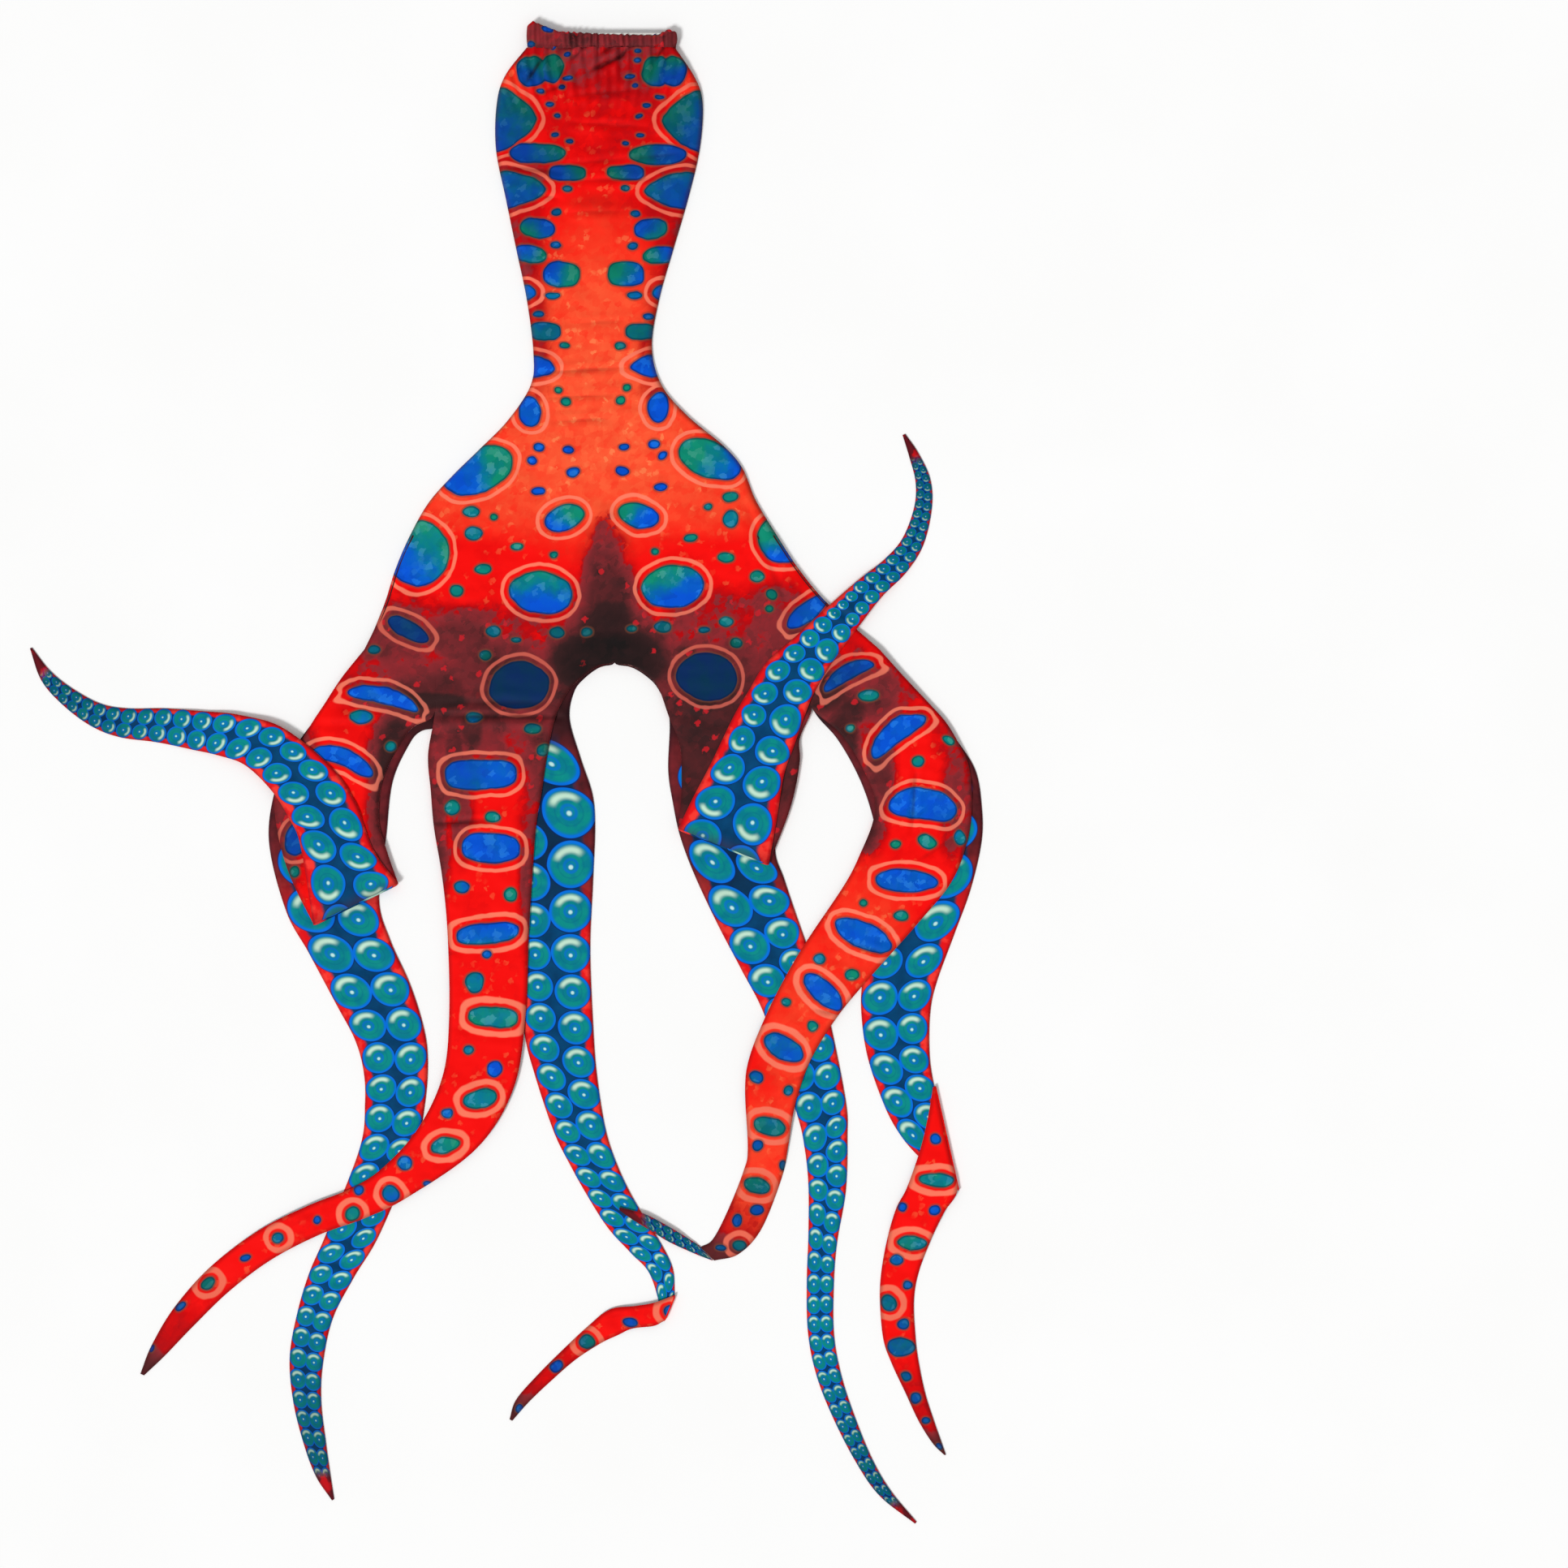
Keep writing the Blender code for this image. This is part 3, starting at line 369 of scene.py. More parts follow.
DEEP_PATCHES = metres(2, [
    (50, 1338, 40, 22, 0.3), (310, 1336, 40, 22, 0.34), (240, 1250, 40, 40, 0.26),
    (120, 1200, 60, 20, 0.16), (200, 1060, 60, 14, 0.14), (150, 1230, 50, 18, 0.24),
    (183, 1240, 110, 90, 0.2), (183, 1340, 135, 26, 0.44), (140, 1312, 36, 40, 0.42),
    (240, 1300, 40, 50, 0.4), (190, 1290, 70, 40, 0.34), (183, 1172, 110, 30, 0.14),
    (20, 1115, 70, 26, 0.42), (330, 1115, 70, 26, 0.42), (30, 1035, 40, 50, 0.3), (302, 1035, 40, 50, 0.3),
    (22, 960, 36, 70, 0.42), (318, 960, 36, 70, 0.42), (46, 860, 26, 90, 0.34), (290, 860, 26, 90, 0.34),
    (52, 795, 26, 40, 0.42), (276, 795, 26, 40, 0.42), (62, 722, 22, 26, 0.3), (270, 722, 22, 26, 0.3),
])
DUSK_PATCHES = metres(2, [
    (172, 1220, 300, 150, 0.6), (172, 1075, 240, 75, 0.5), (165, 985, 180, 60, 0.32),
    (52, 820, 50, 40, 0.45), (272, 820, 50, 40, 0.45), (-180, 270, 70, 36, 0.85), (25, 170, 80, 66, 1),
    (372, 186, 80, 66, 1), (184, 265, 180, 30, 0.55), (-170, 230, 120, 40, 0.5), (60, 70, 50, 50, 0.5),
    (-80, 6, 36, 36, 0.25), (490, 320, 60, 40, 0.4), (-390, -115, 60, 60, 0.5), (610, 205, 60, 40, 0.6),
])
GLOW_PATCHES = metres(2, [
    (168, 930, 70, 90, 0.3), (168, 830, 84, 120, 0.62), (168, 660, 140, 150, 0.85),
    (160, 560, 210, 80, 0.66), (30, 520, 170, 50, 0.45), (340, 520, 160, 50, 0.45), (0, 1265, 30, 30, 0.22),
    (345, 1262, 24, 30, 0.2), (660, -290, 60, 90, 0.25), (560, -500, 60, 160, 0.32),
    (480, -760, 60, 140, 0.36),
])

# Creases pressed into the front layer: x and y of two ends, depth and half width, in mm
CREASES = metres(4, [
    (-128, 114, 115, 111, 5, 5.5), (-149, -87, -26, -79, 4, 5), (48, 746, 228, 756, 2.4, 5),
    (90, 657, 196, 662, 2, 5), (-23, 1128, 115, 1116, 2.6, 5), (115, 1101, 280, 1104, 2.2, 4.5),
    (100, 1041, 235, 1044, 1.6, 5), (100, 1209, 265, 1200, 2, 5), (757, 15, 750, -99, 3, 5),
    (589, 324, 661, 279, 4.5, 5.5), (841, -12, 871, -6, 2, 5), (757, -156, 832, -108, 2, 5.5),
    (154, 1302, 217, 1332, 5, 5), (121, 1323, 151, 1355, 4, 4.5), (37, 1281, 72, 1332, 4.5, 5),
    (103, 1344, 154, 1359, 4, 5), (202, 1320, 232, 1350, 4, 4.5), (172, 1329, 205, 1356, 3.5, 4.5),
    (433, 525, 538, 264, 1.6, 8), (115, 1257, 250, 1269, 2.2, 5), (25, 1326, 40, 1353, 3.5, 4.5),
    (274, 1320, 298, 1356, 4, 5), (55, 1077, 100, 1068, 2, 4.5), (238, 1143, 325, 1152, 2, 4.5),
    (-143, 135, 100, 138, 2.4, 7), (61, 1260, 115, 1281, 2.6, 4.5), (100, 1131, 250, 1143, 2, 5),
    (19, 942, 100, 954, 1.6, 5), (115, 837, 235, 843, 1.4, 5), (63, 699, 220, 707, 1.8, 4.5),
    (-155, -333, -80, -321, 2, 5), (760, -363, 835, -303, 2, 5), (565, -426, 625, -441, 2.4, 5),
    (528, -558, 580, -546, 2, 4.5), (637, -303, 709, -330, 2, 5),
])


def noise(x, y, scale, seed):
    """Smooth value noise from -1 to 1, with features about scale metres across."""
    table = np.random.default_rng(seed).uniform(-1.0, 1.0, (64, 64))
    u, v = x / scale + 300.0, y / scale + 300.0
    iu, iv = np.floor(u).astype(int), np.floor(v).astype(int)
    fu, fv = u - iu, v - iv
    fu, fv = fu * fu * (3.0 - 2.0 * fu), fv * fv * (3.0 - 2.0 * fv)
    a, b = table[iu % 64, iv % 64], table[(iu + 1) % 64, iv % 64]
    c, d = table[iu % 64, (iv + 1) % 64], table[(iu + 1) % 64, (iv + 1) % 64]
    return (a * (1 - fu) + b * fu) * (1 - fv) + (c * (1 - fu) + d * fu) * fv


def smooth(t):
    t = np.clip(t, 0.0, 1.0)
    return t * t * (3.0 - 2.0 * t)


def creases(x, y):
    """Height of the sharp creases at each point: a trough between two soft ridges."""
    depth = np.zeros_like(x)
    for x0, y0, x1, y1, mm, half in CREASES:
        dx, dy = x1 - x0, y1 - y0
        t = np.clip(((x - x0) * dx + (y - y0) * dy) / (dx * dx + dy * dy), 0.0, 1.0)
        wave = 1.5 * MM * noise(x, y, 0.03, 17)
        off = (np.hypot(x - x0 - t * dx, y - y0 - t * dy) + wave) / (half * MM)
        fade = np.sin(math.pi * np.clip(t * 0.9 + 0.05, 0.0, 1.0)) ** 0.7
        depth += mm * MM * fade * (0.5 * np.exp(-((off - 2.4) / 1.2) ** 2) - np.exp(-off * off))
    return depth


def above(z, floor):
    """Keep a layer over the one below it, with a soft landing."""
    return floor + 0.5 * (z - floor + np.sqrt((z - floor) ** 2 + (0.4 * MM) ** 2))


def gathers(x, y):
    """Folds that fan down from the elastic and fade out over the hip."""
    fade = smooth((y - 1.20) / 0.14)
    spread = (x - 0.1775) / (0.75 + 0.25 * fade)
    wave = np.sin(spread * 2 * math.pi / 0.021 + 2.5 * noise(x, y, 0.09, 3))
    wave += 0.7 * np.sin(spread * 2 * math.pi / 0.034 + 3.0 * noise(x, y, 0.07, 4))
    band = smooth((y - 1.315) / 0.025)
    return MM * (2.0 * fade * wave + 2.4 * band * (ruffle(x, np.ones_like(x)) - 0.5))


def wrinkles(x, y):
    """Soft wrinkles of cloth laid out by hand, mostly across the body, in metres."""
    slow = noise(x, y, 0.11, 5)
    across = noise(x * 0.35 + 0.02 * slow, y, 0.016, 6)
    slant = noise(x * 0.5 + y * 0.9, y * 0.6 - x * 0.4, 0.024, 7)
    fine = noise(x * 0.5 - y * 0.2, y * 0.9, 0.008, 8)
    strength = MM * (1.25 + 0.7 * smooth((y - 0.92) / 0.2))
    mixed = across * smooth(0.5 + slow) + 0.9 * slant * smooth(0.5 - slow)
    return strength * (mixed + 0.5 * slow + 0.16 * fine)


def rounded(near, reach):
    """A quarter-round profile: 0 at an edge, 1 from reach on."""
    return np.sqrt(np.clip(1.0 - (1.0 - np.clip(near / reach, 0.0, 1.0)) ** 2, 0.0, 1.0))


def fine_rows(table, cell, **settings):
    """A smooth ladder of rows through a table's rows, about one cell apart along the middle.

    The settings are creased, ends (it runs out to a tip) and phase (suckers already passed).
    """
    points = np.array([(*row[:4], row[4] * MM) for row in table])
    count = len(points)
    ends = np.vstack([2 * points[0] - points[1], points, 2 * points[-1] - points[-2]])
    t = np.linspace(0, count - 1, (count - 1) * 24 + 1)
    i = np.minimum(t.astype(int), count - 2)
    f = (t - i)[:, None]
    a, b, c, d = ends[i], ends[i + 1], ends[i + 2], ends[i + 3]
    curve = 0.5 * (2 * b + (c - a) * f + (2 * a - 5 * b + 4 * c - d) * f**2 + (3 * b - 3 * c + d - a) * f**3)
    curve[:, 4] = (points[i, 4] + (points[i + 1, 4] - points[i, 4]) * smooth(f[:, 0]))
    middle = (curve[:, :2] + curve[:, 2:4]) / 2
    run = np.concatenate([[0.0], np.cumsum(np.linalg.norm(np.diff(middle, axis=0), axis=1))])
    at = np.linspace(0.0, run[-1], max(3, round(run[-1] / cell) + 1))
    rows = np.array([np.interp(at, run, column) for column in curve.T]).T
    return {"creased": False, "ends": True, "phase": 0.0, **settings,
            "left": rows[:, :2], "right": rows[:, 2:4], "base": rows[:, 4], "run": at,
            "index": np.interp(at, run, t), "width": np.linalg.norm(rows[:, 2:4] - rows[:, :2], axis=1)}


def ladder_grid(rows, columns, inset=0.0):
    """Points over a ladder, drawn in from its edges: share across, x, y, and how far each is from an edge."""
    u = np.linspace(0.0, 1.0, columns)[None, :] * np.ones((len(rows["run"]), 1))
    left, right, width = rows["left"], rows["right"], rows["width"][:, None]
    share = inset / width + u * (1.0 - 2.0 * inset / width)
    x = left[:, :1] + (right[:, :1] - left[:, :1]) * share
    y = left[:, 1:] + (right[:, 1:] - left[:, 1:]) * share
    return u, x, y, np.minimum(u, 1.0 - u) * width


def new_object(name, data):
    made = bpy.data.objects.new(name, data)
    bpy.context.scene.collection.objects.link(made)
    return made


def place(piece, slot, body, *nodes):
    """The piece stands for its CAD nodes and rides on the body if one is given; slot is not used."""
    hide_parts(*nodes)
    if body:
        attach(piece, body)


def grid_mesh(name, x, y, z, up, attributes, uv=None):
    """A sheet from 2D arrays of points, with float attributes per vertex and one UV map: uv, or its plan."""
    rows, columns = x.shape
    verts = np.stack([x, y, z], axis=-1).reshape(-1, 3)
    index = np.arange(rows * columns).reshape(rows, columns)
    corners = [index[:-1, :-1], index[:-1, 1:], index[1:, 1:], index[1:, :-1]]
    quads = np.stack(corners, axis=-1).reshape(-1, 4)
    p = verts[quads]
    normal_z = np.cross(p[:, 2] - p[:, 0], p[:, 3] - p[:, 1])[:, 2].sum()
    if (normal_z > 0) != up:
        quads = quads[:, ::-1]
    mesh = bpy.data.meshes.new(name)
    mesh.vertices.add(len(verts))
    mesh.vertices.foreach_set("co", verts.astype(np.float32).ravel())
    mesh.loops.add(quads.size)
    mesh.loops.foreach_set("vertex_index", quads.astype(np.int32).ravel())
    mesh.polygons.add(len(quads))
    mesh.polygons.foreach_set("loop_start", np.arange(0, quads.size, 4, dtype=np.int32))
    mesh.update(calc_edges=True)
    for key, values in attributes.items():
        layer = mesh.attributes.new(key, "FLOAT", "POINT")
        layer.data.foreach_set("value", np.asarray(values, np.float32).ravel())
    layer = mesh.uv_layers.new(name="pattern")
    flat_uv = np.stack(uv or (x, y), axis=-1).reshape(-1, 2)
    layer.data.foreach_set("uv", flat_uv[quads.ravel()].astype(np.float32).ravel())
    mesh.shade_smooth()
    return new_object(name, mesh)


def thicken(piece, printed, reverse, thickness=KNIT):
    """Give a sheet its thickness behind the printed side, with the unprinted reverse there."""
    piece.data.materials.append(printed)
    piece.data.materials.append(reverse)
    solidify = piece.modifiers.new("knit", "SOLIDIFY")
    solidify.thickness = thickness
    solidify.offset = -1.0
    solidify.material_offset = 1
    solidify.material_offset_rim = 0
    bpy.context.view_layer.update()
    solid = bpy.data.meshes.new_from_object(piece.evaluated_get(bpy.context.evaluated_depsgraph_get()))
    solid.set_sharp_from_angle(angle=math.radians(62))
    piece.modifiers.clear()
    old = piece.data
    piece.data = solid
    solid.name = old.name
    bpy.data.meshes.remove(old)


def spot_distance(x, y, spots, reach=0.3):
    """Signed distance to the nearest spot's edge, negative inside, and how green that spot is here."""
    best = np.full(x.shape, reach)
    green = np.zeros(x.shape)
    warp_x = x + 2.6 * MM * noise(x, y, 0.03, 11) + 0.8 * MM * noise(x, y, 0.009, 12)
    warp_y = y + 2.2 * MM * noise(x, y, 0.03, 13) + 0.8 * MM * noise(x, y, 0.009, 14)
    for cx, cy, width, height, tilt, tone, *rest in spots:
        lean, power, bend = (*rest, *(0, 2.0, 0.0)[len(rest):])
        a, b = width * MM / 2, height * MM / 2
        turn = math.radians(tilt)
        dx, dy = warp_x - cx, warp_y - cy
        u = dx * math.cos(turn) + dy * math.sin(turn)
        v = dy * math.cos(turn) - dx * math.sin(turn)
        v = v - bend * MM * (u / a) ** 2
        p, q = np.abs(u / a) + 1e-6, np.abs(v / b) + 1e-6
        k = (p**power + q**power) ** (1.0 / power)
        slope = k ** (1.0 - power) * np.hypot(p ** (power - 1.0) / a, q ** (power - 1.0) / b)
        distance = (k - 1.0) / slope
        nearer = distance < best
        best = np.where(nearer, distance, best)
        way = math.radians(lean)
        side = (dx * math.cos(way) + dy * math.sin(way)) / max(a, b)
        amount = 0.85 if lean else 0.0
        green = np.where(nearer, np.clip(tone + amount * side, 0.0, 1.0), green)
    return best, green


def patches(x, y, table):
    """The strongest of a table's soft patches at each point, 0 to 1."""
    out = np.zeros_like(x)
    for cx, cy, width, height, strength in table:
        far = ((x - cx) / (width * MM)) ** 2 + ((y - cy) / (height * MM)) ** 2
        out = np.maximum(out, strength * smooth(1.45 - 0.75 * np.sqrt(far)))
    return out


def spotted(x, y, ringed, dots, to_tip=1.0, edge=None, creased=False):
    """The red print's attributes: distances to spots and rings, and shade, darker near a tip."""
    # Painted shade in the creases, darker where a crease presses deeper.
    painted_fold_shade = np.clip(-0.22 * creases(x, y) / MM - 0.15, 0.0, 0.75) if creased else np.zeros_like(x)
    ring, ring_green = spot_distance(x, y, ringed)
    dot, dot_green = spot_distance(x, y, dots)
    shade = patches(x, y, DARK_PATCHES)
    shade = np.maximum(shade, 0.42 * smooth((0.07 - to_tip) / 0.05))
    deep = np.maximum(patches(x, y, DEEP_PATCHES), 0.34 * smooth((0.26 - to_tip) / 0.22))
    dusk = np.maximum(patches(x, y, DUSK_PATCHES), 0.5 * smooth((0.6 - to_tip) / 0.5))
    low = smooth((LOW_RINGS_Y - y) / 0.3)
    wide_ring = ring * (1.0 - low) + (RING_FROM + (ring - LOW_RING_FROM) * 0.62) * low
    return {"blob": np.minimum(ring, dot), "ring": wide_ring, "dusk": dusk, "painted_fold_shade": painted_fold_shade,
            "green": np.where(ring < dot, ring_green, dot_green), "shade": shade,
            "deep": deep, "glow": patches(x, y, GLOW_PATCHES),
            "edge": np.full_like(x, 1.0) if edge is None else edge}


def spots_along(rows, seed):
    """Ringed spots and dots down a face that the layout hides, after the ones that show."""
    random = np.random.default_rng(seed)
    ringed, dots = [], []
    at = 0.05
    while at < rows["run"][-1] - 0.03:
        here = int(np.searchsorted(rows["run"], at))
        left, right, width = rows["left"][here], rows["right"][here], rows["width"][here] / MM
        middle = (left + right) / 2
        tilt = math.degrees(math.atan2(right[1] - left[1], right[0] - left[0]))
        green = float(random.choice([0.15, 0.3, 0.8]))
        ringed.append((*middle, 0.66 * width, min(0.32 * width, 50), tilt, green, 90))
        for side in (0.25, 0.72):
            spot = left + (right - left) * (side + random.uniform(-0.06, 0.06))
            next_row = min(here + round(0.4 * width * MM / CELL), len(rows["run"]) - 1)
            spot = spot + (rows["left"][next_row] - left)
            size = 0.16 * width
            dots.append((*spot, size, 0.8 * size, tilt, float(random.uniform(0.2, 0.9))))
        at += (0.55 * width + 16) * MM
    return ringed, dots


def sucker_pitch(width):
    return 11.0 * MM + 0.42 * width


def sucker_phase(rows, side, tentacle):
    """Suckers passed and their pitch along one row of the print; whole numbers fall on sucker centres."""
    run = rows["run"]
    pitch = sucker_pitch(rows["width"])
    stations = SUCKERS.get(f"{tentacle}_{side}")
    if stations is None:
        steps = np.diff(run) * (1.0 / pitch[1:] + 1.0 / pitch[:-1]) / 2
        phase = np.concatenate([[0.0], np.cumsum(steps)]) + rows["phase"] + (0.3 if side == "right" else 0.0)
        return phase, pitch
    edge = 0.75 * rows[side] + 0.25 * rows["right" if side == "left" else "left"]
    at = [run[np.argmin(np.hypot(edge[:, 0] - x, edge[:, 1] - y))] for x, y, _ in stations]
    count = [number for _, _, number in stations]
    phase = np.interp(run, at, count)
    first, last = ((count[j] - count[i]) / (at[j] - at[i]) for i, j in ((0, 1), (-2, -1)))
    phase = np.where(run < at[0], count[0] - (at[0] - run) * first, phase)
    phase = np.where(run > at[-1], count[-1] + (run - at[-1]) * last, phase)
    for _ in range(2):
        phase = np.convolve(np.pad(phase, 6, mode="reflect", reflect_type="odd"), np.ones(13) / 13, "valid")
    return phase, 1.0 / np.maximum(np.gradient(phase, run), 1.0)


def sucker_print(rows, u, tentacle, faded_until=0.0):
    """The sucker print's attributes: distance across, and suckers passed and pitch along its two rows."""
    spread = np.ones_like(u)
    width = rows["width"][:, None] * spread
    made = {"across": (u - 0.5) * width, "half": width / 2, "edge": np.minimum(u, 1.0 - u) * width}
    for side in ("left", "right"):
        phase, pitch = sucker_phase(rows, side, tentacle)
        rows["last_" + side] = float(phase[-1])
        made["phase_" + side] = phase[:, None] * spread
        made["pitch_" + side] = pitch[:, None] * spread
    made["fade"] = smooth((faded_until - rows["run"]) / 0.05 + 0.5)[:, None] * spread
    left = (rows["run"][-1] - rows["run"])[:, None] * spread
    made["tip"] = smooth((0.062 - left) / 0.02) * rows["ends"]
    made["tip_dim_and_fold_shade"] = 0.5 * smooth((0.45 - left) / 0.4) * rows["ends"]
    dark_until = 0.50 if faded_until else -1.0
    made["dusk"] = smooth((dark_until - rows["run"]) / 0.16 + 0.5)[:, None] * spread
    return made


def face_grid(rows, upper, columns, root=None):
    """Points of one face of a sewn tube.

    root says how the tube grows out of the body: its crown there, and the rows over which each seam starts.
    """
    u, x, y, near = ladder_grid(rows, columns)
    width, base = rows["width"][:, None], rows["base"][:, None]
    round_off = rounded(near, np.minimum(width / 2, EDGE_ROUND))
    crown = CROWN * np.minimum(1.0, width / CROWN_WIDTH)
    if root is not None:
        run_in = smooth(rows["run"] / 0.12)[:, None]
        crown = crown * (root["crown"] + (1.0 - root["crown"]) * run_in)
        for start, half in ((root["left"], u < 0.5), (root["right"], u >= 0.5)):
            pinch = smooth((rows["index"] - start[0]) / (start[1] - start[0]))[:, None]
            round_off = np.where(half, 1.0 - pinch * (1.0 - round_off), round_off)
            near = np.where(half, near + 0.03 * (1.0 - pinch), near)
    if upper:
        z = base + SEAM_RISE + crown * round_off
    else:
        z = base + UNDER_MIDDLE + (UNDER_SEAM - UNDER_MIDDLE) * (1.0 - round_off)
    return u, x, y, z, near


def finish_sheet(piece, nodes, body, slot):
    """Place a laid sheet."""
    place(piece, slot, body, *nodes)


def tube_sheet(name, rows, face, upper, nodes, body, root=None, spots=None, fine=True,
               faded_until=0.0):
    """One printed face of a tentacle stretch, as a finished piece. spots are its ringed ones and its dots."""
    width = rows["width"].max()
    columns = max(9, round(width / (CELL if fine else HIDDEN_CELL)) + 1)
    u, x, y, z, near = face_grid(rows, upper, columns, root)
    if upper:
        soft = smooth(near / (2 * EDGE_ROUND)) * np.minimum(1.0, rows["width"][:, None] / 0.08)
        soft = soft * (smooth(rows["run"] / 0.03)[:, None] if root is not None else 1.0)
        z = z + soft * (wrinkles(x, y) + (creases(x, y) if rows["creased"] else 0.0))
        z = above(z, rows["base"][:, None] + SEAM_RISE)
    if face == "outer":
        to_tip = (rows["run"][-1] - rows["run"])[:, None] * np.ones_like(x) + (0.0 if rows["ends"] else 1.0)
        spots = spots or spots_along(rows, sum(map(ord, name)))
        attributes = spotted(x, y, *spots, to_tip, near, rows["creased"] and upper)
    else:
        attributes = sucker_print(rows, u, name.replace("_cloth", ""), faded_until)
    slot, printed = PRINTS[face]
    piece = grid_mesh(name, x, y, z, upper, attributes)
    thicken(piece, printed, material_reverse)
    finish_sheet(piece, nodes, body, slot)
    return piece


# Materials ----------------------------------------------------------------------------------------

def new_material(name):
    """A material, its shader and a graph to add nodes with."""
    material = bpy.data.materials.new(name)
    material.use_nodes = True
    return material, material.node_tree.nodes["Principled BSDF"], Graph(material.node_tree)


class Graph:
    """Short ways to add shader nodes; a value or a socket goes in either way."""

    def __init__(self, tree):
        self.tree = tree

    def put(self, value, socket):
        if isinstance(value, bpy.types.NodeSocket):
            self.tree.links.new(value, socket)
        else:
            socket.default_value = value

    def new(self, kind, **settings):
        """A shader node with its properties set."""
        node = self.tree.nodes.new("ShaderNode" + kind)
        for key, value in settings.items():
            setattr(node, key, value)
        return node

    def math(self, operation, a, b=0.0, c=0.0, clamp=False):
        node = self.new("Math", operation=operation, use_clamp=clamp)
        for value, socket in zip((a, b, c), node.inputs):
            self.put(value, socket)
        return node.outputs[0]

    add = functools.partialmethod(math, "ADD")
    sub = functools.partialmethod(math, "SUBTRACT")
    mul = functools.partialmethod(math, "MULTIPLY")
    div = functools.partialmethod(math, "DIVIDE")
    mad = functools.partialmethod(math, "MULTIPLY_ADD")

    def attribute(self, name):
        return self.new("Attribute", attribute_name=name).outputs["Fac"]

    def noise(self, vector, scale, detail=2.0):
        node = self.new("TexNoise", noise_dimensions="2D")
        self.put(vector, node.inputs["Vector"])
        node.inputs["Scale"].default_value = scale
        node.inputs["Detail"].default_value = detail
        return node.outputs["Fac"]

    def cells(self, vector, scale):
        """A random value for each rounded cell, and the distance from the cell's middle."""
        node = self.new("TexVoronoi", voronoi_dimensions="2D")
        self.put(vector, node.inputs["Vector"])
        node.inputs["Scale"].default_value = scale
        split = self.new("SeparateXYZ")
        self.put(node.outputs["Color"], split.inputs[0])
        return split.outputs[0], node.outputs["Distance"]

    def step(self, value, low, high):
        """0 below low, 1 above high, smooth between."""
        node = self.new("MapRange", interpolation_type="SMOOTHSTEP")
        self.put(value, node.inputs["Value"])
        node.inputs["From Min"].default_value = low
        node.inputs["From Max"].default_value = high
        return node.outputs["Result"]

    def band(self, value, low, high, soft):
        """1 between low and high."""
        rise = self.step(value, low - soft, low + soft)
        fall = self.step(value, high + soft, high - soft)
        return self.mul(rise, fall)

    def mix(self, amount, a, b):
        node = self.new("Mix", data_type="RGBA")
        self.put(amount, node.inputs[0])
        for value, socket in ((a, node.inputs[6]), (b, node.inputs[7])):
            self.put(value, socket)
        return node.outputs[2]

    def ramp(self, value, stops):
        node = self.new("ValToRGB")
        elements = node.color_ramp.elements
        while len(elements) < len(stops):
            elements.new(0.5)
        for element, (place, colour) in zip(elements, stops):
            element.position = place
            element.color = colour
        self.put(value, node.inputs[0])
        return node.outputs[0]


def rgb(red, green, blue):
    """A linear colour from 8-bit screen values."""
    return (*((v / 255) / 12.92 if v <= 10 else ((v / 255 + 0.055) / 1.055) ** 2.4
              for v in (red, green, blue)), 1.0)


def knit_finish(g, shader, plane, colour):
    """The colour, with fine knit rows and a slight softness, shared by every cloth."""
    g.put(colour, shader.inputs["Base Color"])
    wave = g.new("TexWave", bands_direction="X")
    g.put(plane, wave.inputs["Vector"])
    wave.inputs["Scale"].default_value = 260.0
    wave.inputs["Distortion"].default_value = 1.5
    height = g.add(g.mul(wave.outputs["Fac"], 0.6), g.mul(g.noise(plane, 900.0, 3.0), 0.5))
    bump = g.new("Bump")
    bump.inputs["Strength"].default_value = 0.18
    bump.inputs["Distance"].default_value = 0.0004
    g.put(height, bump.inputs["Height"])
    g.put(bump.outputs[0], shader.inputs["Normal"])
    g.put(g.mad(g.noise(plane, 30.0), 0.16, 0.50), shader.inputs["Roughness"])
    shader.inputs["Specular IOR Level"].default_value = 0.06


